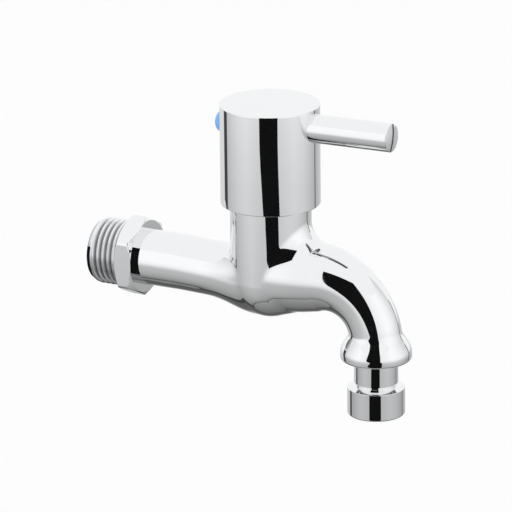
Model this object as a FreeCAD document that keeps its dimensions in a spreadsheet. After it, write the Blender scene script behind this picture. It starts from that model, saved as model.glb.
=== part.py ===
"""Washing machine tap: a chromed brass body with a G 1/2 inlet, a quarter-turn ceramic headwork,
a round lever handle and a quick-connect nozzle for the hose.

The frame, in millimetres: the origin is the centre of the hexagon's shoulder, where the inlet thread
ends. +X runs along the inlet, from the wall to the outlet. +Z is up. The valve axis and the outlet
axis are vertical and lie in the plane Y = 0. At rest the lever stands over the spout and the valve
is shut.
"""

import FreeCAD, Part
import math
import os
from types import SimpleNamespace

import Sketcher

Vector = FreeCAD.Vector
Rotation = FreeCAD.Rotation

SIZES = {
    # Fits between pieces
    "thread_clearance": 0.05,
    "running_clearance": 0.05,
    "face_clearance": 0.04,
    # Inlet: G 1/2 parallel thread, hexagon and tube
    "thread_radius": 10.4775,
    "thread_length": 10.9,
    "thread_chamfer": 0.7,
    "hexagon_across_flats": 23.7,
    "hexagon_turned_radius": 13.1,
    "hexagon_length": 5.8,
    "hexagon_chamfer": 0.6,
    "hexagon_fillet": 2.8,
    "tube_radius": 8.75,
    "tube_length": 15.6,
    "inlet_bore_radius": 6.4,
    "inlet_bore_wall": 3.0,
    # Valve chamber: neck, seat and the water's way up through the seat
    "valve_reach": 49.6,
    "neck_radius": 12.65,
    "neck_top": 26.5,
    "neck_edge": 0.5,
    "seat_height": 3.0,
    "seat_thickness": 3.2,
    "seat_hole_radius": 5.5,
    "pocket_radius": 6.5,
    "pocket_depth": 9.4,
    "pocket_corner": 2.0,
    "feed_radius": 4.2,
    "feed_slope": 16.3,
    "feed_start": 16.0,
    "feed_drop": 1.2,
    "feed_length": 13.5,
    "chamber_radius": 10.0,
    "chamber_top": 15.4,
    # Spout
    "outlet_reach": 36.15,
    "spout_height": 2.0,
    "spout_bend_radius": 18.2,
    "spout_root_reach": 2.0,
    "spout_root_radius": 12.2,
    "spout_waist_reach": 10.5,
    "spout_waist_radius": 12.0,
    "spout_shoulder_radius": 10.4,
    "spout_middle_radius": 8.4,
    "spout_radius": 8.25,
    "spout_bore_radius": 5.6,
    "spout_bore_slope": 18.0,
    "spout_bore_start": 9.5,
    "spout_fillet": 7.0,
    "inlet_fillet": 2.5,
    # Bell round the nozzle's thread
    "bell_radius": 11.1,
    "bell_top": 12.6,
    "bell_wide": 19.5,
    "bell_bottom": 21.5,
    "bell_edge": 0.9,
    "bell_curve": 4.95,
    "nozzle_socket_depth": 6.4,
    # Nozzle for the hose's quick connector
    "nozzle_thread_radius": 8.0,
    "nozzle_gasket_thickness": 1.2,
    "nozzle_gasket_width": 1.9,
    "nozzle_shoulder": 0.3,
    "nozzle_neck_radius": 6.85,
    "nozzle_groove_radius": 6.4,
    "nozzle_groove_length": 0.8,
    "nozzle_bore_radius": 4.6,
    "collar_radius": 8.95,
    "collar_top": 30.7,
    "collar_rise": 0.9,
    "collar_length": 8.7,
    "collar_edge": 0.6,
    "collar_mouth": 1.6,
    # Headwork: the screwed-in brass bonnet with its cage
    "headwork_thread_radius": 10.43,
    "headwork_cage_radius": 8.9,
    "headwork_cavity_radius": 7.8,
    "headwork_relief": 0.6,
    "headwork_flange_radius": 12.3,
    "headwork_flange_thickness": 1.0,
    "headwork_hexagon_across_flats": 21.0,
    "headwork_hexagon_height": 5.0,
    "turret_radius": 7.6,
    "turret_height": 2.3,
    "window_width": 5.6,
    "window_height": 3.6,
    "stop_rib_depth": 1.4,
    "stop_rib_angle": 40.0,
    "bonnet_gasket_thickness": 1.2,
    "bonnet_gasket_radius": 12.2,
    # Seals and ceramic discs, from the seat up
    "gasket_thickness": 1.8,
    "gasket_proud": 0.6,
    "gasket_radius": 7.7,
    "gasket_hole_radius": 5.8,
    "support_ring_hole_radius": 4.9,
    "support_ring_height": 1.4,
    "disc_radius": 7.7,
    "disc_tab_reach": 8.7,
    "disc_tab_width": 3.4,
    "fixed_disc_thickness": 2.8,
    "moving_disc_thickness": 2.6,
    "moving_disc_radius": 7.5,
    "port_inner_radius": 2.2,
    "port_outer_radius": 5.4,
    "port_angle": 76.0,
    "tang_slot_width": 3.2,
    "tang_slot_depth": 1.2,
    "tang_length": 13.0,
    # Spindle
    "lobe_radius": 7.3,
    "lobe_angle": 46.0,
    "lobe_height": 3.0,
    "lobe_gap": 0.2,
    "spindle_collar_radius": 6.1,
    "spindle_collar_height": 1.2,
    "thrust_washer_thickness": 1.0,
    "spindle_radius": 4.4,
    "o_ring_wire": 1.8,
    "o_ring_groove_width": 2.3,
    "lower_o_ring_height": 20.0,
    "upper_o_ring_height": 25.0,
    "clip_thickness": 0.8,
    "clip_groove_radius": 3.5,
    "clip_radius": 5.9,
    "clip_opening": 70.0,
    "spline_start": 38.4,
    "spline_tip_radius": 3.95,
    "spline_depth": 0.4,
    "spline_teeth": 20,
    "spindle_top_gap": 0.4,
    "spindle_edge": 0.5,
    # Handle cap
    "handle_radius": 15.5,
    "handle_bottom": 24.1,
    "handle_top_rise": 6.4,
    "handle_edge": 0.4,
    "handle_lip": 0.3,
    "handle_wall": 1.2,
    "handle_roof": 3.4,
    "hub_radius": 8.2,
    "hub_bottom": 38.5,
    "insert_radius": 6.0,
    "insert_roof": 3.8,
    "cross_boss_radius": 4.6,
    # Lever, its stud, the grub screw and the index plug
    "lever_height": 49.6,
    "lever_rise": 1.0,
    "lever_radius": 4.44,
    "lever_length": 28.0,
    "lever_socket_depth": 1.5,
    "lever_edge": 0.5,
    "lever_hole_depth": 9.0,
    "stud_radius": 3.0,
    "stud_start": 7.6,
    "stud_end_gap": 0.9,
    "screw_drop": 1.4,
    "screw_radius": 2.5,
    "screw_end_gap": 0.51,
    "screw_key_across_flats": 2.5,
    "screw_key_depth": 2.5,
    "index_radius": 3.6,
    "index_seat_depth": 0.6,
    "index_shank_length": 2.4,
}

# Rings of the tube where it swells towards the chamber: how far down and how wide they are, and the
# share of the way from the tube's end to the valve axis at which each one stands
TUBE_RINGS = {
    "tube_ring_1": (0.0, 8.75),
    "tube_ring_2": (0.3, 8.65),
    "tube_ring_3": (0.6, 8.75),
    "tube_ring_4": (1.35, 9.45),
}
TUBE_RING_SHARES = (0.09, 0.295, 0.47, 0.645)

# Rings of the swelling under the chamber: how far past the valve axis, how far down and how wide
CHAMBER_RINGS = {
    "chamber_ring_1": (-6.0, 2.0, 10.35),
    "chamber_ring_2": (-1.0, 1.9, 10.65),
    "chamber_ring_3": (6.5, 1.1, 10.1),
    "chamber_ring_4": (12.5, 0.2, 9.0),
}
for name, numbers in TUBE_RINGS.items():
    SIZES.update(zip((f"{name}_drop", f"{name}_radius"), numbers))
for name, numbers in CHAMBER_RINGS.items():
    SIZES.update(zip((f"{name}_reach", f"{name}_drop", f"{name}_radius"), numbers))

HEXAGON_CORNERS = 6
QUARTER = 90
SPOUT_MIDDLE_TURN = 45
CREASE_ANGLE = 4
CUT_OVERSHOOT = 1.0


class Size:
    """A size of the sheet, or a sum or share of such sizes: its number and the formula that binds it."""

    def __init__(self, number, formula):
        self.number = number
        self.formula = formula

    def __add__(self, other):
        other = as_size(other)
        return Size(self.number + other.number, f"({self.formula} + {other.formula})")

    def __sub__(self, other):
        other = as_size(other)
        return Size(self.number - other.number, f"({self.formula} - {other.formula})")

    def __mul__(self, other):
        other = as_size(other)
        return Size(self.number * other.number, f"({self.formula} * {other.formula})")

    def __truediv__(self, other):
        other = as_size(other)
        return Size(self.number / other.number, f"({self.formula} / {other.formula})")

    def __radd__(self, other):
        return as_size(other) + self

    def __rsub__(self, other):
        return as_size(other) - self

    def __rmul__(self, other):
        return as_size(other) * self

    def __rtruediv__(self, other):
        return as_size(other) / self

    def __neg__(self):
        return as_size(0) - self


def as_size(value):
    """A plain number as a Size, so that it can stand in a sum with one."""
    if isinstance(value, Size):
        return value
    return Size(value, f"({value:.9g})")


def cosine(angle):
    angle = as_size(angle)
    return Size(math.cos(math.radians(angle.number)), f"cos({angle.formula} * 1 deg)")


def sine(angle):
    angle = as_size(angle)
    return Size(math.sin(math.radians(angle.number)), f"sin({angle.formula} * 1 deg)")


def polar(radius, angle):
    """The point at a radius and an angle in degrees."""
    return radius * cosine(angle), radius * sine(angle)


def corner_radius(across_flats):
    """The distance from a hexagon's centre to its corners."""
    return across_flats / math.sqrt(3)


doc = FreeCAD.newDocument("washing_machine_tap")
sheet = doc.addObject("Spreadsheet::Sheet", "Sizes")
for row, (alias, value) in enumerate(SIZES.items(), start=1):
    sheet.set(f"A{row}", alias)
    sheet.set(f"B{row}", str(value))
    sheet.setAlias(f"B{row}", alias)
doc.recompute()
size = SimpleNamespace(**{alias: Size(value, f"Sizes.{alias}") for alias, value in SIZES.items()})


def bind(item, path, value):
    """Sets a property of a feature by the formula of a size."""
    item.setExpression(path, as_size(value).formula)


def new_body(label, along=0, up=0, rise=0):
    """A body for one piece, set out along X and Z from the origin and tipped up about its own Y."""
    body = doc.addObject("PartDesign::Body", label)
    body.Label = label
    body.Placement.Rotation = Rotation(Vector(0, 1, 0), -as_size(rise).number)
    bind(body, "Placement.Base.x", along)
    bind(body, "Placement.Base.z", up)
    if isinstance(rise, Size):
        bind(body, "Placement.Rotation.Angle", -rise)
    return body


def new_sketch(body, name, plane, shift=(0, 0, 0), tilt=0):
    """A sketch on one of the body's planes, shifted in it and along its normal, then tilted about its x."""
    sketch = body.newObject("Sketcher::SketchObject", f"{body.Label}_{name}")
    support = [item for item in body.Origin.OriginFeatures if item.Role == plane]
    sketch.AttachmentSupport = [(support[0], "")]
    sketch.MapMode = "FlatFace"
    turn = Rotation(Vector(1, 0, 0), as_size(tilt).number)
    sketch.AttachmentOffset = FreeCAD.Placement(Vector(), turn)
    for letter, value in zip("xyz", shift):
        bind(sketch, f"AttachmentOffset.Base.{letter}", value)
    if isinstance(tilt, Size):
        bind(sketch, "AttachmentOffset.Rotation.Angle", tilt)
    return sketch


def arc_between(start, end, radius):
    """The arc from start to end, counter-clockwise where the radius is positive."""
    chord = end - start
    across = Vector(-chord.y, chord.x, 0).normalize()
    rise = math.sqrt(max(radius**2 - (chord.Length / 2) ** 2, 0))
    centre = (start + end) / 2 + across * math.copysign(rise, radius)
    ends = (start, end) if radius > 0 else (end, start)
    angles = [math.atan2(point.y - centre.y, point.x - centre.x) for point in ends]
    return Part.ArcOfCircle(Part.Circle(centre, Vector(0, 0, 1), abs(radius)), *angles)


def hold(sketch, constraint, value):
    """A sketch constraint whose size follows a formula."""
    index = sketch.addConstraint(constraint)
    bind(sketch, f"Constraints[{index}]", value)


def draw(sketch, corners, closed=True):
    """An outline from corner to corner. A corner's third value is the radius of the arc that leads on from
    it, counter-clockwise where positive. Each corner is held by its distances from the sketch's origin."""
    points = [Vector(as_size(corner[0]).number, as_size(corner[1]).number, 0) for corner in corners]
    count = len(corners) if closed else len(corners) - 1
    ends = []
    for index in range(count):
        start, end = points[index], points[(index + 1) % len(points)]
        if len(corners[index]) == 2:
            edge = sketch.addGeometry(Part.LineSegment(start, end))
            ends.append((edge, 1, 2))
            continue
        radius = as_size(corners[index][2])
        edge = sketch.addGeometry(arc_between(start, end, radius.number))
        ends.append((edge, 1, 2) if radius.number > 0 else (edge, 2, 1))
        radius = radius if radius.number > 0 else -radius
        hold(sketch, Sketcher.Constraint("Radius", edge, radius.number), radius)
    for index, (corner, point) in enumerate(zip(corners, points)):
        edge, end = ends[index][:2] if index < count else ends[index - 1][::2]
        hold(sketch, Sketcher.Constraint("DistanceX", -1, 1, edge, end, point.x), corner[0])
        hold(sketch, Sketcher.Constraint("DistanceY", -1, 1, edge, end, point.y), corner[1])
    for index in range(count if closed else count - 1):
        edge, _, end = ends[index]
        following, start, _ = ends[(index + 1) % count]
        sketch.addConstraint(Sketcher.Constraint("Coincident", edge, end, following, start))
    return sketch


def draw_circle(sketch, radius):
    """A circle round the sketch's origin."""
    edge = sketch.addGeometry(Part.Circle(Vector(), Vector(0, 0, 1), as_size(radius).number))
    sketch.addConstraint(Sketcher.Constraint("Coincident", edge, 3, -1, 1))
    hold(sketch, Sketcher.Constraint("Radius", edge, as_size(radius).number), radius)
    return sketch


def draw_hexagon(sketch, across_flats, first_corner=0):
    """A hexagon round the sketch's origin, with one corner at the given angle."""
    step = 360 / HEXAGON_CORNERS
    reach = corner_radius(across_flats)
    return draw(sketch, [polar(reach, first_corner + step * index) for index in range(HEXAGON_CORNERS)])


def draw_box(sketch, left, bottom, right, top):
    """An upright rectangle."""
    return draw(sketch, [(left, bottom), (right, bottom), (right, top), (left, top)])


def draw_sector(sketch, inner, outer, middle, angle):
    """A sector of a ring, or of a disc where there is no inner radius, that spans the angle."""
    first, last = middle - angle / 2, middle + angle / 2
    outside = [(*polar(outer, first), outer), polar(outer, last)]
    inside = [(0, 0)] if inner is None else [(*polar(inner, last), -inner), polar(inner, first)]
    return draw(sketch, outside + inside)


def add_feature(body, kind, name, sketch):
    """A PartDesign feature made on a sketch."""
    feature = body.newObject(f"PartDesign::{kind}", f"{body.Label}_{name}")
    feature.Profile = sketch
    return feature


def turn(body, name, corners, axis="V_Axis", cut=False, shift=(0, 0, 0)):
    """A full turn of an outline in the body's XZ plane, round one of its sketch's axes."""
    sketch = draw(new_sketch(body, f"{name}_outline", "XZ_Plane", shift), corners)
    feature = add_feature(body, "Groove" if cut else "Revolution", name, sketch)
    feature.ReferenceAxis = (sketch, [axis])
    feature.Angle = 360
    return feature


def extrude(body, name, sketch, length, cut=False, both_ways=False):
    """A pad or a pocket along its sketch's normal, or as far both ways from it."""
    feature = add_feature(body, "Pocket" if cut else "Pad", name, sketch)
    bind(feature, "Length", length)
    feature.Reversed = cut
    if both_ways:
        feature.SideType = "Symmetric"
    return feature


def pipe(body, name, first, path, sections=(), cut=False):
    """A section carried along a path, through further sections where there are some."""
    feature = add_feature(body, "SubtractivePipe" if cut else "AdditivePipe", name, first)
    feature.Spine = (path, [f"Edge{index + 1}" for index in range(path.GeometryCount)])
    if sections:
        feature.Transformation = "Multisection"
        feature.Sections = list(sections)
    return feature


def repeat_round(body, name, feature, count, sketch):
    """A feature repeated round its sketch's normal."""
    pattern = body.newObject("PartDesign::PolarPattern", f"{body.Label}_{name}")
    pattern.Originals = [feature]
    pattern.Axis = (sketch, ["N_Axis"])
    pattern.Angle = 360
    bind(pattern, "Occurrences", count)
    body.Tip = pattern
    return pattern


def is_crease(shape, edge, point):
    """Whether two faces meet at an angle at a point of an edge."""
    normals = []
    for face in shape.ancestorsOfType(edge, Part.Face):
        normals.append(face.normalAt(*face.Surface.parameter(point)))
    return len(normals) == 2 and math.degrees(normals[0].getAngle(normals[1])) > CREASE_ANGLE


def crease_edges(shape, chosen):
    """The names of the edges whose middle is chosen and where two faces meet at an angle."""
    names = []
    for number, edge in enumerate(shape.Edges, start=1):
        if edge.Degenerated:
            continue
        point = edge.valueAt((edge.FirstParameter + edge.LastParameter) / 2)
        if chosen(point) and is_crease(shape, edge, point):
            names.append(f"Edge{number}")
    return names


def soften(body, name, feature, chosen, radius):
    """A fillet along the chosen creases of a feature."""
    doc.recompute()
    rounded = body.newObject("PartDesign::Fillet", f"{body.Label}_{name}")
    rounded.Base = (feature, crease_edges(feature.Shape, chosen))
    bind(rounded, "Radius", radius)
    return rounded


# Places that several pieces share, along X and up from the inlet's axis
valve_x = size.valve_reach
outlet_x = size.valve_reach + size.outlet_reach
skirt_inner_radius = size.handle_radius - size.handle_wall
gasket_top = size.seat_height + size.gasket_thickness
fixed_disc_top = gasket_top + size.fixed_disc_thickness
moving_disc_bottom = fixed_disc_top + size.face_clearance
moving_disc_top = moving_disc_bottom + size.moving_disc_thickness
lobe_bottom = moving_disc_top + size.lobe_gap
lobe_top = lobe_bottom + size.lobe_height
spindle_collar_top = lobe_top + size.spindle_collar_height
thrust_washer_top = spindle_collar_top + size.thrust_washer_thickness
headwork_roof = thrust_washer_top + size.face_clearance
bonnet_seat = size.neck_top + size.bonnet_gasket_thickness
bonnet_hexagon_bottom = bonnet_seat + size.headwork_flange_thickness
turret_bottom = bonnet_hexagon_bottom + size.headwork_hexagon_height
turret_top = turret_bottom + size.turret_height
stem_bore_radius = size.spindle_radius + size.running_clearance
clip_bottom = turret_top + size.face_clearance
clip_top = clip_bottom + size.clip_thickness
nozzle_socket_top = -size.bell_bottom + size.nozzle_socket_depth
nozzle_top = nozzle_socket_top - size.nozzle_gasket_thickness
handle_top = size.lever_height + size.handle_top_rise
handle_ceiling = handle_top - size.handle_roof
insert_top = handle_top - size.insert_roof
spindle_top = insert_top - size.spindle_top_gap
screw_height = size.lever_height - size.screw_drop
lever_start = size.handle_radius - size.lever_socket_depth
stud_end = lever_start + size.lever_hole_depth - size.stud_end_gap
index_seat = size.handle_radius - size.index_seat_depth


def add_inlet(body):
    """The end that is threaded, and the tube behind the hexagon with a fillet at its root."""
    tube_start = size.hexagon_length + size.hexagon_fillet
    turn(
        body,
        "inlet",
        [
            (-size.thread_length, 0),
            (size.tube_length, 0),
            (size.tube_length, size.tube_radius),
            (tube_start, size.tube_radius, -size.hexagon_fillet),
            (size.hexagon_length, size.tube_radius + size.hexagon_fillet),
            (size.hexagon_length, size.thread_radius),
            (size.thread_chamfer - size.thread_length, size.thread_radius),
            (-size.thread_length, size.thread_radius - size.thread_chamfer),
        ],
        axis="H_Axis",
    )


def add_hexagon(body):
    """The spanner's hexagon on the shoulder, its corners turned down and chamfered at both ends."""
    sketch = new_sketch(body, "hexagon_outline", "YZ_Plane")
    draw_hexagon(sketch, size.hexagon_across_flats, QUARTER)
    extrude(body, "hexagon", sketch, size.hexagon_length)
    turned = size.hexagon_turned_radius
    far = corner_radius(size.hexagon_across_flats) + CUT_OVERSHOOT
    chamfered = turned - size.hexagon_chamfer * 2
    turn(
        body,
        "hexagon_corners",
        [
            (0, chamfered),
            (size.hexagon_chamfer, turned),
            (size.hexagon_length - size.hexagon_chamfer, turned),
            (size.hexagon_length, chamfered),
            (size.hexagon_length + CUT_OVERSHOOT, chamfered),
            (size.hexagon_length + CUT_OVERSHOOT, far),
            (-as_size(CUT_OVERSHOOT), far),
            (-as_size(CUT_OVERSHOOT), chamfered),
        ],
        axis="H_Axis",
        cut=True,
    )


def add_swelling(body):
    """The tube's underside swells smoothly into the chamber and runs on into the spout's root."""
    rings = [(size.tube_length, 0, size.tube_radius)]
    for name, share in zip(TUBE_RINGS, TUBE_RING_SHARES):
        drop, radius = [getattr(size, f"{name}_{kind}") for kind in ("drop", "radius")]
        rings.append((size.tube_length + (valve_x - size.tube_length) * share, -drop, radius))
    for name in CHAMBER_RINGS:
        reach, drop, radius = [getattr(size, f"{name}_{kind}") for kind in ("reach", "drop", "radius")]
        rings.append((valve_x + reach, -drop, radius))
    sections = []
    for number, (along, up, radius) in enumerate(rings):
        sketch = new_sketch(body, f"swelling_ring_{number}", "YZ_Plane", (0, up, along))
        sections.append(draw_circle(sketch, radius))
    swelling = add_feature(body, "AdditiveLoft", "swelling", sections[0])
    swelling.Sections = sections[1:]


def add_chamber(body):
    """The round neck over a spherical bottom, about the valve axis."""
    turn(
        body,
        "chamber",
        [
            (0, -size.neck_radius, size.neck_radius),
            (size.neck_radius, 0),
            (size.neck_radius, size.neck_top - size.neck_edge),
            (size.neck_radius - size.neck_edge, size.neck_top),
            (0, size.neck_top),
        ],
        shift=(valve_x, 0, 0),
    )


def add_spout(body):
    """A round spout that narrows from its root through the bend, down to the outlet axis."""
    bend_x = outlet_x - size.spout_bend_radius
    bend_z = size.spout_height - size.spout_bend_radius
    root_x = valve_x + size.spout_root_reach
    path = new_sketch(body, "spout_line", "XZ_Plane")
    bend_start = (bend_x, size.spout_height, -size.spout_bend_radius)
    draw(path, [(root_x, size.spout_height), bend_start, (outlet_x, bend_z)], closed=False)
    middle_x = bend_x + size.spout_bend_radius * sine(SPOUT_MIDDLE_TURN)
    middle_z = bend_z + size.spout_bend_radius * cosine(SPOUT_MIDDLE_TURN)
    stations = [
        (root_x, size.spout_height, 0, size.spout_root_radius),
        (valve_x + size.spout_waist_reach, size.spout_height, 0, size.spout_waist_radius),
        (bend_x, size.spout_height, 0, size.spout_shoulder_radius),
        (middle_x, middle_z, SPOUT_MIDDLE_TURN, size.spout_middle_radius),
        (outlet_x, bend_z, QUARTER, size.spout_radius),
    ]
    rings = []
    for number, (along, up, tilt, radius) in enumerate(stations):
        sketch = new_sketch(body, f"spout_ring_{number}", "YZ_Plane", (0, up, along), tilt)
        rings.append(draw_circle(sketch, radius))
    return pipe(body, "spout", rings[0], path, rings[1:])


def on_chamber_skin(point):
    """Whether a point lies on the neck or on the chamber's spherical bottom, below the neck's top edge."""
    up = min(point.z, 0)
    distance = math.sqrt((point.x - valve_x.number) ** 2 + point.y**2 + up**2)
    below_top = point.z < size.neck_top.number - 2 * size.neck_edge.number
    return below_top and abs(distance - size.neck_radius.number) < 0.01


def before_valve(point):
    return on_chamber_skin(point) and point.x < valve_x.number


def beyond_valve(point):
    return on_chamber_skin(point) and point.x > valve_x.number


def add_bell(body):
    """The flared end that the nozzle screws into: an S-curve out to its widest, then a rounded rim."""
    bend_z = size.spout_height - size.spout_bend_radius
    curve_x = (size.spout_radius + size.bell_radius) / 2
    curve_z = -(size.bell_top + size.bell_wide) / 2
    turn(
        body,
        "bell",
        [
            (0, bend_z),
            (0, -size.bell_bottom),
            (size.bell_radius - size.bell_edge, -size.bell_bottom, size.bell_edge),
            (size.bell_radius, size.bell_edge - size.bell_bottom),
            (size.bell_radius, -size.bell_wide, size.bell_curve),
            (curve_x, curve_z, -size.bell_curve),
            (size.spout_radius, -size.bell_top),
        ],
        shift=(outlet_x, 0, 0),
    )


def bore_inlet(body):
    """The inlet's bore, which stops short of the chamber, and the sloping way under the seat."""
    bore_end = valve_x - size.chamber_radius - size.inlet_bore_wall
    sketch = new_sketch(body, "inlet_bore_ring", "YZ_Plane", (0, 0, -size.thread_length))
    draw_circle(sketch, size.inlet_bore_radius)
    extrude(body, "inlet_bore", sketch, bore_end + size.thread_length, cut=True)
    feed_start = valve_x - size.feed_start
    sketch = new_sketch(body, "feed_ring", "YZ_Plane", (0, -size.feed_drop, feed_start), size.feed_slope)
    draw_circle(sketch, size.feed_radius)
    extrude(body, "feed", sketch, size.feed_length, cut=True)


def bore_chamber(body):
    """From below: the pocket, the seat's hole, the chamber round the cage and the headwork's thread."""
    pocket_top = size.seat_height - size.seat_thickness
    pocket_bottom = pocket_top - size.pocket_depth
    headwork_hole_radius = size.headwork_thread_radius + size.thread_clearance
    turn(
        body,
        "chamber_bore",
        [
            (0, pocket_bottom),
            (size.pocket_radius - size.pocket_corner, pocket_bottom),
            (size.pocket_radius, pocket_bottom + size.pocket_corner),
            (size.pocket_radius, pocket_top),
            (size.seat_hole_radius, pocket_top),
            (size.seat_hole_radius, size.seat_height),
            (size.chamber_radius, size.seat_height),
            (size.chamber_radius, size.chamber_top),
            (headwork_hole_radius, size.chamber_top),
            (headwork_hole_radius, size.neck_top),
            (0, size.neck_top),
        ],
        cut=True,
        shift=(valve_x, 0, 0),
    )


def bore_spout(body):
    """The spout's bore slopes out of the chamber and follows the bend to the bell's socket."""
    bend_z = size.spout_height - size.spout_bend_radius
    arc_x = outlet_x - size.spout_bend_radius + size.spout_bend_radius * sine(size.spout_bore_slope)
    arc_z = bend_z + size.spout_bend_radius * cosine(size.spout_bore_slope)
    start_x = valve_x + size.spout_bore_start
    slope = sine(size.spout_bore_slope) / cosine(size.spout_bore_slope)
    start_z = arc_z + (arc_x - start_x) * slope
    path = new_sketch(body, "spout_bore_line", "XZ_Plane")
    bend_start = (arc_x, arc_z, -size.spout_bend_radius)
    draw(path, [(start_x, start_z), bend_start, (outlet_x, bend_z)], closed=False)
    ring = new_sketch(body, "spout_bore_ring", "YZ_Plane", (0, start_z, start_x), size.spout_bore_slope)
    draw_circle(ring, size.spout_bore_radius)
    pipe(body, "spout_bore", ring, path, cut=True)
    socket_radius = size.nozzle_thread_radius + size.thread_clearance
    sketch = new_sketch(body, "nozzle_socket_ring", "XY_Plane", (outlet_x, 0, -size.bell_bottom))
    draw_circle(sketch, socket_radius)
    extrude(body, "nozzle_socket", sketch, size.nozzle_socket_depth, cut=True)


def make_tap_body():
    """The casting: inlet, valve chamber, spout and bell in one piece, then bored through."""
    body = new_body("tap_body")
    add_inlet(body)
    add_hexagon(body)
    add_swelling(body)
    add_chamber(body)
    spout = add_spout(body)
    inlet_fillet = soften(body, "inlet_fillet", spout, before_valve, size.inlet_fillet)
    soften(body, "spout_fillet", inlet_fillet, beyond_valve, size.spout_fillet)
    add_bell(body)
    bore_inlet(body)
    bore_chamber(body)
    bore_spout(body)
    return body


def make_nozzle_gasket():
    """The flat ring between the bell's socket and the nozzle's top face."""
    inner = size.nozzle_thread_radius - size.nozzle_gasket_width
    body = new_body("nozzle_gasket", outlet_x)
    corners = [
        (inner, nozzle_top),
        (size.nozzle_thread_radius, nozzle_top),
        (size.nozzle_thread_radius, nozzle_socket_top),
        (inner, nozzle_socket_top),
    ]
    turn(body, "ring", corners)
    return body


def make_outlet_nozzle():
    """Turned brass: a threaded top, a slim neck and the collar that the hose's connector grips."""
    body = new_body("outlet_nozzle", outlet_x)
    shoulder = size.nozzle_shoulder - size.bell_bottom
    collar_bottom = -size.collar_top - size.collar_length
    seat_of_collar = -size.collar_top + size.collar_rise
    turn(
        body,
        "blank",
        [
            (size.nozzle_bore_radius, nozzle_top),
            (size.nozzle_bore_radius, collar_bottom + size.collar_mouth),
            (size.nozzle_bore_radius + size.collar_mouth, collar_bottom),
            (size.collar_radius - size.collar_edge, collar_bottom, size.collar_edge),
            (size.collar_radius, collar_bottom + size.collar_edge),
            (size.collar_radius, -size.collar_top),
            (size.nozzle_groove_radius, seat_of_collar),
            (size.nozzle_neck_radius, seat_of_collar + size.nozzle_groove_length),
            (size.nozzle_neck_radius, shoulder),
            (size.nozzle_thread_radius, shoulder),
            (size.nozzle_thread_radius, nozzle_top),
        ],
    )
    return body


def make_valve_bonnet():
    """The headwork's brass body: a cage with windows and stop ribs, a thread, a hexagon and a turret."""
    body = new_body("valve_bonnet", valve_x)
    cage_bottom = size.seat_height + size.gasket_proud
    thread_start = size.chamber_top + size.headwork_relief
    turn(
        body,
        "blank",
        [
            (size.headwork_cavity_radius, cage_bottom),
            (size.headwork_cage_radius, cage_bottom),
            (size.headwork_cage_radius, size.chamber_top),
            (size.headwork_thread_radius, thread_start),
            (size.headwork_thread_radius, bonnet_seat),
            (size.headwork_flange_radius, bonnet_seat),
            (size.headwork_flange_radius, bonnet_hexagon_bottom),
            (size.turret_radius, bonnet_hexagon_bottom),
            (size.turret_radius, turret_top),
            (stem_bore_radius, turret_top),
            (stem_bore_radius, headwork_roof),
            (size.headwork_cavity_radius, headwork_roof),
        ],
    )
    bonnet_hexagon(body)
    window_bottom = lobe_bottom
    window_top = window_bottom + size.window_height
    half = size.window_width / 2
    across = (size.headwork_cage_radius + CUT_OVERSHOOT) * 2
    for plane in ("XZ_Plane", "YZ_Plane"):
        sketch = new_sketch(body, f"window_{plane[:2]}", plane)
        draw_box(sketch, -half, window_bottom, half, window_top)
        extrude(body, f"windows_{plane[:2]}", sketch, across, cut=True, both_ways=True)
    half = size.disc_tab_width / 2 + size.running_clearance
    sketch = new_sketch(body, "tab_slot", "YZ_Plane")
    draw_box(sketch, -half, cage_bottom, half, fixed_disc_top)
    extrude(body, "tab_slots", sketch, across, cut=True, both_ways=True)
    for number, middle in enumerate((QUARTER / 2, QUARTER / 2 + 180)):
        rib_inner = size.headwork_cavity_radius - size.stop_rib_depth
        rib_outer = (size.headwork_cavity_radius + size.headwork_cage_radius) / 2
        sketch = new_sketch(body, f"stop_rib_{number}_outline", "XY_Plane", (0, 0, lobe_bottom))
        draw_sector(sketch, rib_inner, rib_outer, middle, size.stop_rib_angle)
        extrude(body, f"stop_rib_{number}", sketch, headwork_roof - lobe_bottom)
    return body


def bonnet_hexagon(body):
    """The hexagon that the headwork is screwed in by, bored for the spindle."""
    sketch = new_sketch(body, "hexagon_outline", "XY_Plane", (0, 0, bonnet_hexagon_bottom))
    draw_hexagon(sketch, size.headwork_hexagon_across_flats)
    draw_circle(sketch, stem_bore_radius)
    extrude(body, "hexagon", sketch, size.headwork_hexagon_height)


def make_ring(label, inner, outer, bottom, top):
    """A plain flat ring on the valve axis."""
    body = new_body(label, valve_x)
    turn(body, "ring", [(inner, bottom), (outer, bottom), (outer, top), (inner, top)])
    return body


def make_disc(label, radius, bottom, thickness, port_middle):
    """A ceramic disc with two ports opposite each other."""
    body = new_body(label, valve_x)
    draw_circle(new_sketch(body, "outline", "XY_Plane", (0, 0, bottom)), radius)
    extrude(body, "blank", doc.getObject(f"{label}_outline"), thickness)
    for number in range(2):
        sketch = new_sketch(body, f"port_{number}_outline", "XY_Plane", (0, 0, bottom))
        middle = port_middle + 180 * number
        draw_sector(sketch, size.port_inner_radius, size.port_outer_radius, middle, size.port_angle)
        extrude(body, f"port_{number}", sketch, thickness, cut=True)
    return body


def make_fixed_disc():
    """The disc that stays put: its ports lie across X, and two tabs key it to the cage."""
    body = make_disc("fixed_disc", size.disc_radius, gasket_top, size.fixed_disc_thickness, QUARTER)
    half = size.disc_tab_width / 2
    for number, side in enumerate((-1, 1)):
        near, far = side * size.port_outer_radius, side * size.disc_tab_reach
        sketch = new_sketch(body, f"tab_{number}_outline", "XY_Plane", (0, 0, gasket_top))
        draw_box(sketch, near, -half, far, half)
        extrude(body, f"tab_{number}", sketch, size.fixed_disc_thickness)
    return body


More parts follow.
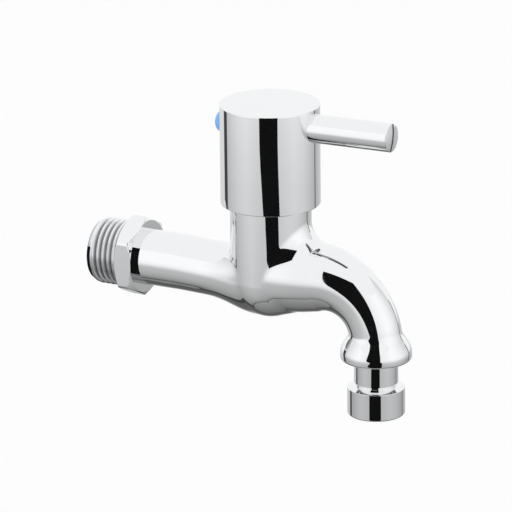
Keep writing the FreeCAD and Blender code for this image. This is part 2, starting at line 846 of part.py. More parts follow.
def make_moving_disc():
    """The disc that turns: its ports lie along X when shut, and its slot takes the spindle's tang."""
    thickness = size.moving_disc_thickness
    body = make_disc("moving_disc", size.moving_disc_radius, moving_disc_bottom, thickness, 0)
    half = size.tang_slot_width / 2
    sketch = new_sketch(body, "slot_outline", "XY_Plane", (0, 0, moving_disc_top - size.tang_slot_depth))
    reach = size.moving_disc_radius * 1.1
    draw_box(sketch, -half, -reach, half, reach)
    extrude(body, "slot", sketch, size.tang_slot_depth, cut=True)
    return body


def groove(body, name, radius, outer, bottom, width):
    """A square groove turned into the spindle."""
    corners = [(radius, bottom), (outer, bottom), (outer, bottom + width), (radius, bottom + width)]
    turn(body, name, corners, cut=True)


def make_spindle():
    """Tang and stop lobes at the foot, a stem with two O-ring grooves, a clip groove and a splined top."""
    body = new_body("spindle", valve_x)
    outer = size.spindle_radius + CUT_OVERSHOOT
    turn(
        body,
        "blank",
        [
            (0, lobe_bottom),
            (size.spindle_radius, lobe_bottom),
            (size.spindle_radius, lobe_top),
            (size.spindle_collar_radius, lobe_top),
            (size.spindle_collar_radius, spindle_collar_top),
            (size.spindle_radius, spindle_collar_top),
            (size.spindle_radius, size.spline_start),
            (size.spline_tip_radius, size.spline_start),
            (size.spline_tip_radius, spindle_top - size.spindle_edge),
            (size.spline_tip_radius - size.spindle_edge, spindle_top),
            (0, spindle_top),
        ],
    )
    for number in range(2):
        sketch = new_sketch(body, f"lobe_{number}_outline", "XY_Plane", (0, 0, lobe_bottom))
        draw_sector(sketch, None, size.lobe_radius, QUARTER + 180 * number, size.lobe_angle)
        extrude(body, f"lobe_{number}", sketch, size.lobe_height)
    tang_bottom = moving_disc_top - size.tang_slot_depth + size.face_clearance
    half_width = size.tang_slot_width / 2 - size.running_clearance
    sketch = new_sketch(body, "tang_outline", "XY_Plane", (0, 0, tang_bottom))
    draw_box(sketch, -half_width, -size.tang_length / 2, half_width, size.tang_length / 2)
    extrude(body, "tang", sketch, lobe_bottom - tang_bottom)
    for name, up in (("lower", size.lower_o_ring_height), ("upper", size.upper_o_ring_height)):
        floor = size.spindle_radius - size.o_ring_wire
        bottom = up - size.o_ring_groove_width / 2
        groove(body, f"{name}_o_ring_groove", floor, outer, bottom, size.o_ring_groove_width)
    clip_groove_width = size.clip_thickness + 2 * size.face_clearance
    groove(body, "clip_groove", size.clip_groove_radius, outer, turret_top, clip_groove_width)
    cut_splines(body)
    return body


def cut_splines(body):
    """The gaps between the splines, a wedge each, repeated round the top of the stem."""
    half_gap = 360 / size.spline_teeth / 4
    root = size.spline_tip_radius - size.spline_depth
    reach = size.spline_tip_radius + size.spline_depth
    sketch = new_sketch(body, "spline_gap_outline", "XY_Plane", (0, 0, size.spline_start))
    near, far = polar(root, -half_gap / 2), polar(reach, -half_gap * 1.5)
    draw(sketch, [near, far, polar(reach, half_gap * 1.5), polar(root, half_gap / 2)])
    gap = extrude(body, "spline_gap", sketch, spindle_top - size.spline_start, cut=True)
    repeat_round(body, "splines", gap, size.spline_teeth, sketch)


def make_o_ring(label, up):
    """A round-section ring that fills its groove in the spindle."""
    body = new_body(label, valve_x)
    middle = size.spindle_radius - size.o_ring_wire / 2
    sketch = new_sketch(body, "section", "XZ_Plane", (middle, up, 0))
    draw_circle(sketch, size.o_ring_wire / 2)
    ring = add_feature(body, "Revolution", "ring", sketch)
    ring.ReferenceAxis = (axis_of(body, "Z_Axis"), [""])
    ring.Angle = 360
    return body


def axis_of(body, role):
    """One of a body's own axes."""
    return [item for item in body.Origin.OriginFeatures if item.Role == role][0]


def make_retaining_clip():
    """An open ring that holds the spindle down on the turret."""
    inner = size.clip_groove_radius + size.face_clearance
    body = make_ring("retaining_clip", inner, size.clip_radius, clip_bottom, clip_top)
    sketch = new_sketch(body, "opening_outline", "XY_Plane", (0, 0, clip_bottom))
    draw_sector(sketch, None, size.clip_radius + CUT_OVERSHOOT, 0, size.clip_opening)
    extrude(body, "opening", sketch, size.clip_thickness, cut=True)
    return body


def lever_hole(body, name, radius, start, length):
    """A hole outwards along the lever's line, from a distance off the valve axis."""
    height = size.lever_height + start * sine(size.lever_rise) / cosine(size.lever_rise)
    sketch = new_sketch(body, f"{name}_ring", "YZ_Plane", (0, height, start), -size.lever_rise)
    draw_circle(sketch, radius)
    extrude(body, name, sketch, length, cut=True)


def rear_hole(body, name, radius, start, length):
    """A level hole outwards at the back, at the grub screw's height."""
    sketch = new_sketch(body, f"{name}_ring", "YZ_Plane", (0, screw_height, -start))
    draw_circle(sketch, radius)
    hole = extrude(body, name, sketch, length, cut=True)
    hole.Reversed = False


def make_handle_cap():
    """A turned and bored cap: a skirt over the neck, and a hub inside that carries the splined insert."""
    body = new_body("handle_cap", valve_x)
    lip = size.handle_lip
    turn(
        body,
        "shell",
        [
            (skirt_inner_radius, size.handle_bottom),
            (size.handle_radius - lip, size.handle_bottom, lip),
            (size.handle_radius, size.handle_bottom + lip),
            (size.handle_radius, handle_top - size.handle_edge, size.handle_edge),
            (size.handle_radius - size.handle_edge, handle_top),
            (0, handle_top),
            (0, size.hub_bottom),
            (size.hub_radius, size.hub_bottom),
            (size.hub_radius, handle_ceiling),
            (skirt_inner_radius, handle_ceiling),
        ],
    )
    reach = (size.handle_radius + skirt_inner_radius) / 2
    sketch = new_sketch(body, "cross_boss_ring", "YZ_Plane", (0, size.lever_height, 0), -size.lever_rise)
    draw_circle(sketch, size.cross_boss_radius)
    extrude(body, "cross_boss", sketch, reach * 2, both_ways=True)
    insert_hole = [
        (0, size.hub_bottom),
        (size.insert_radius, size.hub_bottom),
        (size.insert_radius, insert_top),
        (0, insert_top),
    ]
    turn(body, "insert_hole", insert_hole, cut=True)
    play = size.thread_clearance
    outside = CUT_OVERSHOOT * 3
    lever_hole(body, "lever_socket", size.lever_radius + play, lever_start, outside)
    lever_hole(body, "stud_hole", size.stud_radius + play, size.stud_start, size.handle_radius)
    rear_hole(body, "screw_hole", size.screw_radius + play, size.spline_tip_radius, size.handle_radius)
    rear_hole(body, "index_seat", size.index_radius + play, index_seat, outside)
    return body


def make_spline_insert():
    """The hub's lining, bored over the spindle's splines and drilled for the grub screw."""
    body = new_body("spline_insert", valve_x)
    bore = size.spline_tip_radius + size.running_clearance
    ring = [
        (bore, size.hub_bottom),
        (size.insert_radius, size.hub_bottom),
        (size.insert_radius, insert_top),
        (bore, insert_top),
    ]
    turn(body, "sleeve", ring)
    rear_hole(body, "screw_hole", size.screw_radius + size.thread_clearance, 0, size.handle_radius)
    return body


def make_lever_bar():
    """The round lever: a plain bar with a softened end, drilled at its root for the stud."""
    body = new_body("lever_bar", valve_x, size.lever_height, size.lever_rise)
    lever_end = lever_start + size.lever_length
    hole_radius = size.stud_radius + size.thread_clearance
    turn(
        body,
        "bar",
        [
            (lever_start, hole_radius),
            (lever_start + size.lever_hole_depth, hole_radius),
            (lever_start + size.lever_hole_depth, 0),
            (lever_end, 0),
            (lever_end, size.lever_radius - size.lever_edge, size.lever_edge),
            (lever_end - size.lever_edge, size.lever_radius),
            (lever_start, size.lever_radius),
        ],
        axis="H_Axis",
    )
    return body


def turn_rod(body, start, end, radius):
    """A plain round rod along the body's X."""
    turn(body, "rod", [(start, 0), (end, 0), (end, radius), (start, radius)], axis="H_Axis")


def make_lever_stud():
    """The headless stud that the lever is screwed on by, along the lever's line."""
    body = new_body("lever_stud", valve_x, size.lever_height, size.lever_rise)
    turn_rod(body, size.stud_start, stud_end, size.stud_radius)
    return body


def make_set_screw():
    """The grub screw that grips the spindle through the insert, with its hexagon key's socket."""
    inner_end = -size.spline_tip_radius - size.face_clearance
    outer_end = size.index_shank_length + size.screw_end_gap - index_seat
    body = new_body("set_screw", valve_x, screw_height)
    turn_rod(body, outer_end, inner_end, size.screw_radius)
    sketch = new_sketch(body, "key_outline", "YZ_Plane", (0, 0, outer_end))
    draw_hexagon(sketch, size.screw_key_across_flats)
    extrude(body, "key", sketch, size.screw_key_depth, cut=True)
    return body


def make_index_plug():
    """The domed blue button that closes the grub screw's hole, with a shank in the hole."""
    body = new_body("index_plug", valve_x, screw_height)
    face = -index_seat
    turn(
        body,
        "button",
        [
            (-size.handle_radius - size.index_radius, 0),
            (face + size.index_shank_length, 0),
            (face + size.index_shank_length, size.screw_radius),
            (face, size.screw_radius),
            (face, size.index_radius),
            (-size.handle_radius, size.index_radius, size.index_radius),
        ],
        axis="H_Axis",
    )
    return body


def build_all():
    """Every piece of the tap, from the casting to the handle's plug."""
    gasket_rim = size.headwork_thread_radius + size.thread_clearance
    support_top = size.seat_height + size.support_ring_height
    return [
        make_tap_body(),
        make_nozzle_gasket(),
        make_outlet_nozzle(),
        make_valve_bonnet(),
        make_ring("bonnet_gasket", gasket_rim, size.bonnet_gasket_radius, size.neck_top, bonnet_seat),
        make_ring("seat_gasket", size.gasket_hole_radius, size.gasket_radius, size.seat_height, gasket_top),
        make_ring(
            "gasket_support_ring",
            size.support_ring_hole_radius,
            size.gasket_hole_radius,
            size.seat_height,
            support_top,
        ),
        make_fixed_disc(),
        make_moving_disc(),
        make_spindle(),
        make_ring(
            "thrust_washer",
            stem_bore_radius,
            size.spindle_collar_radius,
            spindle_collar_top,
            thrust_washer_top,
        ),
        make_o_ring("lower_o_ring", size.lower_o_ring_height),
        make_o_ring("upper_o_ring", size.upper_o_ring_height),
        make_retaining_clip(),
        make_handle_cap(),
        make_spline_insert(),
        make_lever_bar(),
        make_lever_stud(),
        make_set_screw(),
        make_index_plug(),
    ]


def check(bodies):
    """Stops before anything is written if a feature failed or a piece isn't a valid solid."""
    failed = [item.Name for item in doc.Objects if "Invalid" in item.State or "Error" in item.State]
    if failed:
        raise RuntimeError(f"these features failed: {failed}")
    for body in bodies:
        shape = body.Shape
        if shape.isNull() or not shape.isValid() or len(shape.Solids) != 1:
            raise RuntimeError(f"{body.Label} isn't one valid solid")


bodies = build_all()
doc.recompute()
check(bodies)
os.makedirs("parts", exist_ok=True)
for body in bodies:
    body.Shape.exportStep(f"parts/{body.Label}.step")
    print(f"{body.Label}: {body.Shape.Volume:.1f} mm3")
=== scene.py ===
"""Looks of the washing machine tap: polished chrome over brass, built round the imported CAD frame.

The frame's axes are used as they are: X runs from the wall to the outlet, Z is up, and the valve's axis
is upright. Shapes are worked out in millimetres, each on a grid of two parameters, and put into their
meshes in metres.
"""

import math

import bpy
import numpy as np
from mathutils import Matrix, Vector


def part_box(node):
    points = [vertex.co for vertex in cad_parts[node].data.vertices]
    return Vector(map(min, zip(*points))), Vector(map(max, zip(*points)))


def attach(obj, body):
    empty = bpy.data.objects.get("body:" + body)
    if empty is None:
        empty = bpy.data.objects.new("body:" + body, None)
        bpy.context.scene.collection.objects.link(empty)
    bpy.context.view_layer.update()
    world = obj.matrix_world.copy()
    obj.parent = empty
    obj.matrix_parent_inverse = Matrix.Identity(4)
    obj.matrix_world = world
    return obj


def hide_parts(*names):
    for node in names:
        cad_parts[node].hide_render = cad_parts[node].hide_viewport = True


bl_info = {
    "name": "Washing machine tap",
    "version": (1, 0, 0),
    "blender": (4, 5, 0),
    "location": "View3D > Sidebar > Tap",
    "description": "Chromed wall tap with a lever handle and a quick-connect nozzle",
    "category": "Add Mesh",
}

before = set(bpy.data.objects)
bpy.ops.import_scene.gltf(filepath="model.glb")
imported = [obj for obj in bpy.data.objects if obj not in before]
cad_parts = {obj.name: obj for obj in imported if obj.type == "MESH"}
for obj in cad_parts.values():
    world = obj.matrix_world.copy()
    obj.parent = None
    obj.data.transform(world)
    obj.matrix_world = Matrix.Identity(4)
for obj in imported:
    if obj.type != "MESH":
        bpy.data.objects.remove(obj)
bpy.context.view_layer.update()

MM = 0.001
QUARTER_TURN = math.pi / 2


def middle_x(node):
    """Where the middle of a CAD node lies along the tap, in millimetres."""
    low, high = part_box(node)
    return (low.x + high.x) / 2 / MM


VALVE_X = middle_x("handle_cap")
OUTLET_X = middle_x("outlet_nozzle")


# Settings that a user would change


def length(name, default_mm, description):
    """A length property. Its default is given in millimetres and kept in metres."""
    return bpy.props.FloatProperty(
        name=name, description=description, default=default_mm * MM, unit="LENGTH", precision=5
    )


def linear(text):
    """An sRGB hex colour as linear red, green and blue."""
    shares = [int(text[i : i + 2], 16) / 255 for i in (1, 3, 5)]
    return [s / 12.92 if s <= 0.04045 else ((s + 0.055) / 1.055) ** 2.4 for s in shares]


def colour(name, text, description):
    """A colour property, whose default is an sRGB hex value."""
    return bpy.props.FloatVectorProperty(
        name=name, description=description, default=linear(text), subtype="COLOR", size=3, min=0, max=1
    )


class TapInletSizes(bpy.types.PropertyGroup):
    """Sizes of the inlet's thread, hexagon and tube"""

    thread_radius: length("Thread radius", 10.4775, "Outside radius of the G 1/2 inlet thread")
    pitch: length("Thread pitch", 1.814, "Distance from crest to crest")
    depth: length("Thread depth", 1.162, "Depth of the thread")
    thread_length: length("Thread length", 10.9, "Length of the thread in front of the hexagon")
    lead_drop: length("Lead drop", 1.05, "How far below the crests the thread's conical lead starts")
    bore: length("Bore radius", 6.4, "Radius of the inlet's bore")
    bore_edge: length("Bore edge", 0.4, "Chamfer of the bore at the thread's end")
    face_radius: length("Face radius", 11.45, "Radius of the hexagon's faces, where its chamfers start")
    turned_radius: length("Turned radius", 13.3, "Radius to which the hexagon's corners are turned")
    hexagon_length: length("Hexagon length", 5.8, "Length of the hexagon along the inlet")
    tube_radius: length("Tube radius", 8.75, "Radius of the tube behind the hexagon")


class TapCastingSizes(bpy.types.PropertyGroup):
    """Sizes of the casting's neck, chamber, spout and bell"""

    neck_radius: length("Neck radius", 12.65, "Radius of the neck round the valve")
    neck_top: length("Neck top", 26.5, "Height of the neck's rim above the inlet's axis")
    neck_edge: length("Neck edge", 0.5, "Rounding of the neck's rim")
    mouth_radius: length("Mouth radius", 10.48, "Radius of the neck's mouth, which holds the headwork")
    mouth_bottom: length("Mouth bottom", 15.4, "Height at which the mouth narrows to the chamber")
    chamber_radius: length("Chamber radius", 10.0, "Radius of the valve's chamber")
    chamber_bottom: length("Chamber bottom", 3.0, "Height of the chamber's floor, which the seat lies on")
    spout_height: length("Spout height", 2.0, "Height of the spout's line where it leaves the chamber")
    bend_radius: length("Bend radius", 18.2, "Radius of the spout's bend along its line")
    root_fillet: length("Inlet fillet", 2.5, "Rounding between the tube's top and the neck")
    belly_fillet: length("Belly fillet", 15.0, "Rounding between the tube's sides and the chamber")
    spout_fillet: length("Spout fillet", 7.0, "Rounding between the neck and the spout's top")
    side_fillet: length("Side fillet", 4.5, "Rounding between the neck and the spout's sides")
    bell_radius: length("Bell radius", 11.1, "Radius of the bell at the spout's end")
    bell_bottom: length("Bell bottom", 21.5, "Depth of the bell's rim below the inlet's axis")
    bell_edge: length("Bell edge", 0.9, "Rounding of the bell's rim")
    socket_radius: length("Socket radius", 8.05, "Radius of the nozzle's socket in the bell")
    socket_edge: length("Socket edge", 0.4, "Chamfer of the socket's mouth")
    socket_top: length("Socket top", 15.1, "Depth of the socket's inner end below the inlet's axis")
    spout_bore: length("Spout bore", 5.6, "Radius of the spout's bore")


class TapHandleSizes(bpy.types.PropertyGroup):
    """Sizes of the cap, the lever and the button"""

    radius: length("Radius", 15.5, "Outside radius of the cap")
    bottom: length("Bottom", 24.1, "Height of the skirt's rim above the inlet's axis")
    top: length("Top", 56.0, "Height of the cap's flat top")
    edge: length("Edge", 0.4, "Rounding of the top's edge")
    wall: length("Wall", 1.2, "Thickness of the cap's skirt")
    hub_radius: length("Hub radius", 8.2, "Radius of the hub inside the cap")
    sleeve_radius: length("Sleeve radius", 4.6, "Radius of the sleeves round the stud and the grub screw")
    sleeve_start: length("Sleeve start", 8.0, "How far from the valve's axis the sleeves start")
    stud_bore: length("Stud bore", 3.0, "Radius of the bore for the lever's stud")
    screw_bore: length("Screw bore", 2.5, "Radius of the bore for the grub screw")
    lever_height: length("Lever height", 49.6, "Height of the lever's line at the valve's axis")
    lever_radius: length("Lever radius", 4.44, "Radius of the round lever")
    lever_start: length("Lever start", 14.4, "How far from the valve's axis the lever starts")
    lever_reach: length("Lever reach", 42.06, "How far the lever's end lies from the valve's axis")
    lever_crown: length("Lever crown", 0.35, "How far the lever's end bulges at its middle")
    button_radius: length("Button radius", 3.6, "Radius of the blue index button")
    stem_radius: length("Stem radius", 1.6, "Radius of the stem behind the index button")
    stem_start: length("Stem start", 12.6, "How far from the valve's axis the button's stem starts")


class TapNozzleSizes(bpy.types.PropertyGroup):
    """Sizes of the nozzle, with depths below the inlet's axis"""

    top: length("Top", 16.3, "Depth of the nozzle's upper end below the inlet's axis")
    tail_radius: length("Tail radius", 8.0, "Radius of the tail in the bell's socket")
    tail_end: length("Tail end", 21.2, "Depth at which the tail ends and the neck starts")
    neck_radius: length("Neck radius", 6.85, "Radius of the nozzle's neck")
    neck_end: length("Neck end", 29.0, "Depth at which the neck runs into the groove")
    groove_radius: length("Groove radius", 6.4, "Radius at the foot of the neck")
    groove_end: length("Groove end", 29.8, "Depth of the groove's foot")
    collar_top: length("Collar top", 30.7, "Depth of the collar's upper edge")
    collar_radius: length("Collar radius", 8.95, "Radius of the collar that the hose's connector grips")
    bore: length("Bore radius", 4.6, "Radius of the nozzle's bore")
    mouth: length("Mouth", 1.6, "Chamfer of the bore's mouth")
    bottom: length("Bottom", 39.4, "Depth of the collar's end below the inlet's axis")


class TapColours(bpy.types.PropertyGroup):
    """Colours of the metals, the seals, the discs and the button"""

    chrome: colour("Chrome", "#F0F1F2", "Bright chromium plate")
    brass: colour("Brass", "#D9B46A", "Machined free-cutting brass")
    steel: colour("Steel", "#C9C7C2", "Stainless steel of the small screws and rings")
    rubber: colour("Rubber", "#1A1A1B", "Nitrile rubber of the seals")
    ceramic: colour("Ceramic", "#F1EFEA", "Sintered alumina of the discs")
    acetal: colour("Acetal", "#EDEDE8", "Moulded acetal of the slip ring")
    button: colour("Button", "#7DB6EE", "Blue plastic of the index button")


GROUPS = {
    "tap_inlet": TapInletSizes,
    "tap_casting": TapCastingSizes,
    "tap_handle": TapHandleSizes,
    "tap_nozzle": TapNozzleSizes,
    "tap_colours": TapColours,
}


class Millimetres:
    """A settings group read in millimetres."""

    def __init__(self, group):
        self.group = group

    def __getattr__(self, name):
        return getattr(self.group, name) / MM


# Meshes


def grid_faces(rows, columns, closed=False):
    """Quads of a grid whose columns go once round, and whose rows do too where closed is set."""
    i = np.arange(rows if closed else rows - 1)[:, None]
    j = np.arange(columns)[None, :]
    here, above, right = i * columns, (i + 1) % rows * columns, (j + 1) % columns
    return np.stack([here + j, here + right, above + right, above + j], axis=-1).reshape(-1, 4)


def fan(ring, middle):
    """Triangles from a ring of point numbers to the number of the point in its middle."""
    return np.stack([ring, np.roll(ring, -1), np.full(len(ring), middle)], axis=-1)


def volume(points, faces):
    """The volume that faces enclose, which is negative where they point inwards."""
    total = 0.0
    for part in faces:
        for k in range(1, part.shape[1] - 1):
            a, b, c = points[part[:, 0]], points[part[:, k]], points[part[:, k + 1]]
            total += (a * np.cross(b, c)).sum() / 6
    return total


def add_piece(name, points, faces, material, body, crease=32):
    """A mesh object of points in millimetres. Its faces point outwards and it is smooth but for creases."""
    used = np.unique(np.concatenate([part.ravel() for part in faces]))
    number = np.zeros(len(points), int)
    number[used] = np.arange(len(used))
    points, faces = points[used], [number[part] for part in faces]
    if volume(points, faces) < 0:
        faces = [part[:, ::-1] for part in faces]
    mesh = bpy.data.meshes.new(name)
    mesh.from_pydata((points * MM).tolist(), [], [face for part in faces for face in part.tolist()])
    mesh.polygons.foreach_set("use_smooth", np.ones(len(mesh.polygons), bool))
    mesh.set_sharp_from_angle(angle=math.radians(crease))
    mesh.materials.append(material)
    mesh.update()
    piece = bpy.data.objects.new(name, mesh)
    bpy.context.scene.collection.objects.link(piece)
    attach(piece, body)
    return piece


SHORT_RUN = 0.2  # a straight run that is no longer than this is not divided
EDGE_GAP = 0.03  # how close the points next to a straight run's ends lie to them


def rounded(corners, step=1.2, arc_step=8.0):
    """The points of an outline whose corners are given as (along, radius, rounding), in millimetres.

    Each corner with a rounding becomes an arc that touches both of its sides. Each straight run is
    divided by the step, with a point close to both of its ends, so that it shades flat up to its edge.
    """
    points = []
    count = len(corners)
    ends = []
    for i, (along, radius, rounding) in enumerate(corners):
        here = np.array([along, radius], float)
        if rounding == 0:
            ends.append([here])
            continue
        before = np.array(corners[i - 1][:2], float) - here
        after = np.array(corners[(i + 1) % count][:2], float) - here
        before /= np.linalg.norm(before)
        after /= np.linalg.norm(after)
        half = math.acos(max(-1.0, min(1.0, float(before @ after)))) / 2
        reach = rounding / math.tan(half)
        inwards = (before + after) / np.linalg.norm(before + after)
        middle = here + inwards * rounding / math.sin(half)
        first, last = here + before * reach - middle, here + after * reach - middle
        sweep = math.pi - 2 * half
        pieces = max(3, math.ceil(math.degrees(sweep) / arc_step))
        t = np.linspace(0, 1, pieces + 1)[:, None]
        arc = (np.sin((1 - t) * sweep) * first + np.sin(t * sweep) * last) / math.sin(sweep)
        ends.append(list(middle + arc))
    for i, here in enumerate(ends):
        points += here
        if i + 1 < count:
            start, end = here[-1], ends[i + 1][0]
            run = np.linalg.norm(end - start)
            if run > SHORT_RUN:
                gap = EDGE_GAP / run
                inner = np.linspace(gap, 1 - gap, max(2, math.ceil(run / step)))
                points += list(start + (end - start) * inner[:, None])
    return np.array(points)


def turned(outline, columns, origin, axis, closed=False):
    """Points and faces of an outline (along, radius) turned round an axis, in millimetres.

    A point lies at the origin plus its along times the axis, plus its radius times a unit vector that
    goes once round the axis. An open outline starts and ends on the axis and is closed by fans.
    """
    axis = Vector(axis).normalized()
    side = axis.orthogonal().normalized()
    other = axis.cross(side)
    angle = np.linspace(0, 2 * math.pi, columns, endpoint=False)
    spoke = np.cos(angle)[:, None] * np.array(side) + np.sin(angle)[:, None] * np.array(other)
    rings = outline if closed else outline[1:-1]
    along = rings[:, 0, None, None] * np.array(axis)
    points = (np.array(origin) + along + rings[:, 1, None, None] * spoke[None]).reshape(-1, 3)
    faces = [grid_faces(len(rings), columns, closed)]
    if not closed:
        poles = np.array(origin) + outline[[0, -1], :1] * np.array(axis)
        points = np.concatenate([points, poles])
        ring = np.arange(columns)
        faces.append(fan(ring[::-1], len(points) - 2))
        faces.append(fan(ring + (len(rings) - 1) * columns, len(points) - 1))
    return points, faces


# The casting's outside: tubes and balls joined by fillets

# The inlet's tube at its stations: how far each lies from the wall's face, how far the tube's line has
# dropped there, and the tube's radius. It starts plain and level and swells towards the chamber.
TUBE_STATIONS = np.array(
    [
        (8.0, 0.0, 8.75),
        (12.0, 0.0, 8.75),
        (15.6, 0.0, 8.75),
        (18.66, 0.0, 8.75),
        (25.63, 0.3, 8.65),
        (31.58, 0.6, 8.75),
        (37.53, 1.35, 9.45),
        (43.6, 2.0, 10.35),
        (48.6, 1.9, 10.65),
        (56.1, 1.1, 10.1),
        (62.1, 0.2, 9.0),
    ]
)

# The spout starts inside the chamber. Its radii are those at its start, at its waist, and at the
# bend's start, middle and end.
SPOUT_START_X = VALVE_X + 2.0
SPOUT_WAIST = 8.5  # how far along the spout's line its waist lies
SPOUT_RADII = np.array([12.2, 11.8, 10.55, 8.45, 8.25])

# The bell flares between these heights, and its top lies a little inside the spout
BELL_TOP = -10.8
BELL_WIDE = -19.5
BELL_SUNK = 0.8
BELL_FILLET = 1.5

# From this height down, over this depth, the tube's fillet widens from its top to its sides
ROOT_HIGH = 9.5
ROOT_DEPTH = 8.5

# Outside these heights the spout's fillet has the size of its top, and over this distance inwards
# from each it changes to that of its sides
SIDE_HIGH = 10.0
SIDE_LOW = -2.0
SIDE_FADE = 6.0


def smooth_step(t):
    """Zero up to 0, one from 1 on, and a smooth rise between."""
    t = np.clip(t, 0, 1)
    return t * t * (3 - 2 * t)


def smaller(a, b, rounding):
    """The smaller of two radii, with the corner between them rounded off."""
    blend = np.maximum(rounding - np.abs(a - b), 0) / rounding
    return np.minimum(a, b) - blend**2 * rounding / 4


def bend_middle(s):
    """Where the middle of the spout's bend lies, along the tap and up."""
    return OUTLET_X - s.bend_radius, s.spout_height - s.bend_radius


def spline(x, stations, values):
    """The natural cubic spline through the stations' values, and its slope."""
    gap = np.diff(stations)
    rise = np.diff(values) / gap
    system = np.eye(len(stations))
    right = np.zeros(len(stations))
    inner = np.arange(1, len(stations) - 1)
    system[inner, inner - 1], system[inner, inner + 1] = gap[:-1], gap[1:]
    system[inner, inner] = 2 * (gap[:-1] + gap[1:])
    right[inner] = 6 * np.diff(rise)
    bend = np.linalg.solve(system, right)
    x = np.clip(x, stations[0], stations[-1])
    k = np.clip(np.searchsorted(stations, x) - 1, 0, len(stations) - 2)
    t = x - stations[k]
    start = rise[k] - gap[k] * (2 * bend[k] + bend[k + 1]) / 6
    twist = (bend[k + 1] - bend[k]) / gap[k]
    value = values[k] + t * (start + t * (bend[k] / 2 + t * twist / 6))
    return value, start + t * (bend[k] + t * twist / 2)


def as_distance(value, slope):
    """A field's value divided by its steepness, which is near the distance, and its direction."""
    size = np.maximum(np.linalg.norm(slope, axis=-1), 1e-9)
    return value / size, slope / size[..., None]


def tube_field(p):
    """Distance from the swelling inlet tube: a circle that drops and widens along X by two splines."""
    x = np.clip(p[..., 0], TUBE_STATIONS[0, 0], TUBE_STATIONS[-1, 0])
    drop, drop_slope = spline(x, TUBE_STATIONS[:, 0], TUBE_STATIONS[:, 1])
    radius, radius_slope = spline(x, TUBE_STATIONS[:, 0], TUBE_STATIONS[:, 2])
    beyond, y, z = p[..., 0] - x, p[..., 1], p[..., 2] + drop
    away = np.maximum(np.sqrt(beyond**2 + y**2 + z**2), 1e-6)
    lean = np.where(beyond == 0, z * drop_slope / away - radius_slope, beyond / away)
    return as_distance(away - radius, np.stack([lean, y / away, z / away], axis=-1))


def chamber_field(p, radius):
    """Distance from an upright round-bottomed cylinder on the valve's axis."""
    q = np.stack([p[..., 0] - VALVE_X, p[..., 1], np.minimum(p[..., 2], 0)], axis=-1)
    away = np.maximum(np.linalg.norm(q, axis=-1), 1e-6)
    return away - radius, q / away[..., None]


def spout_field(p, s):
    """Distance from the spout: a straight run and a quarter bend whose radius follows a spline.

    The nearest place on the line is found in closed form: by X on the straight run, by the angle round
    the bend's middle on the bend, and by Z below it.
    """
    bend_x, bend_z = bend_middle(s)
    x, y, z = p[..., 0], p[..., 1], p[..., 2]
    across, up = x - bend_x, z - bend_z
    reach = np.maximum(np.hypot(across, up), 1e-6)
    zero, one = np.zeros_like(x), np.ones_like(x)
    bend, below = ((across > 0) & (up > 0))[..., None], ((across > 0) & (up <= 0))[..., None]
    run = bend_x - SPOUT_START_X
    quarter = s.bend_radius * QUARTER_TURN

    on_run = np.stack([np.minimum(x - SPOUT_START_X, 0), y, z - s.spout_height], axis=-1)
    on_bend = np.stack([across / reach, zero, up / reach], axis=-1) * (reach - s.bend_radius)[..., None]
    on_bend[..., 1] = y
    on_end = np.stack([x - OUTLET_X, y, zero], axis=-1)
    offset = np.where(bend, on_bend, np.where(below, on_end, on_run))

    travelled = np.where(
        bend[..., 0],
        run + s.bend_radius * np.arctan2(across, up),
        np.where(below[..., 0], run + quarter - up, np.maximum(x - SPOUT_START_X, 0)),
    )
    along_run = np.stack([(x > SPOUT_START_X) * one, zero, zero], axis=-1)
    along_bend = np.stack([up, zero, -across], axis=-1) * (s.bend_radius / reach**2)[..., None]
    along_end = np.stack([zero, zero, -one], axis=-1)
    along = np.where(bend, along_bend, np.where(below, along_end, along_run))

    stations = np.array([0, SPOUT_WAIST, run, run + quarter / 2, run + quarter])
    radius, slope = spline(travelled, stations, SPOUT_RADII)
    slope = np.where(travelled < stations[-1], slope, 0)
    away = np.maximum(np.linalg.norm(offset, axis=-1), 1e-6)
    return as_distance(away - radius, offset / away[..., None] - slope[..., None] * along)


def bell_profile(z, s):
    """The bell's radius at a height and its slope.

    It is a cone hidden in the spout above the bell's top, then half a wave of a cosine out to the
    bell's full radius.
    """
    spout = SPOUT_RADII[-1] - BELL_SUNK
    rise = (s.bell_radius - spout) / 2
    pace = math.pi / (BELL_TOP - BELL_WIDE)
    turn = np.clip((BELL_TOP - z) * pace, 0, math.pi)
    above = z > BELL_TOP
    radius = np.where(above, spout - (z - BELL_TOP), spout + rise * (1 - np.cos(turn)))
    slope = np.where(above, -1.0, -rise * pace * np.sin(turn))
    return radius, slope


def bell_field(p, s):
    """Distance from the turned bell."""
    away = np.maximum(np.hypot(p[..., 0] - OUTLET_X, p[..., 1]), 1e-6)
    radius, slope = bell_profile(p[..., 2], s)
    return as_distance(
        away - radius, np.stack([(p[..., 0] - OUTLET_X) / away, p[..., 1] / away, -slope], axis=-1)
    )


def joined(first, second, fillet):
    """The two fields as one, with a ball of the fillet's radius rolled along the corner between them.

    Where the ball would touch both, the distance is the fillet's radius less the distance to the
    ball's middle, which follows from the two distances and the angle between their directions.
    Elsewhere it is the smaller of the two.
    """
    (a, toward_a), (b, toward_b) = first, second
    cosine = np.clip((toward_a * toward_b).sum(-1), -0.999, 0.9999)
    spare_a, spare_b = fillet - a, fillet - b
    share_a = (spare_a - cosine * spare_b) / (1 - cosine**2)
    share_b = (spare_b - cosine * spare_a) / (1 - cosine**2)
    touches = (share_a > 0) & (share_b > 0) & (spare_a > 0) & (spare_b > 0)
    ball = share_a[..., None] * toward_a + share_b[..., None] * toward_b
    away = np.maximum(np.linalg.norm(ball, axis=-1), 1e-9)
    value = np.where(touches, fillet - away, np.minimum(a, b))
    nearer = np.where((a < b)[..., None], toward_a, toward_b)
    return value, np.where(touches[..., None], ball / away[..., None], nearer)


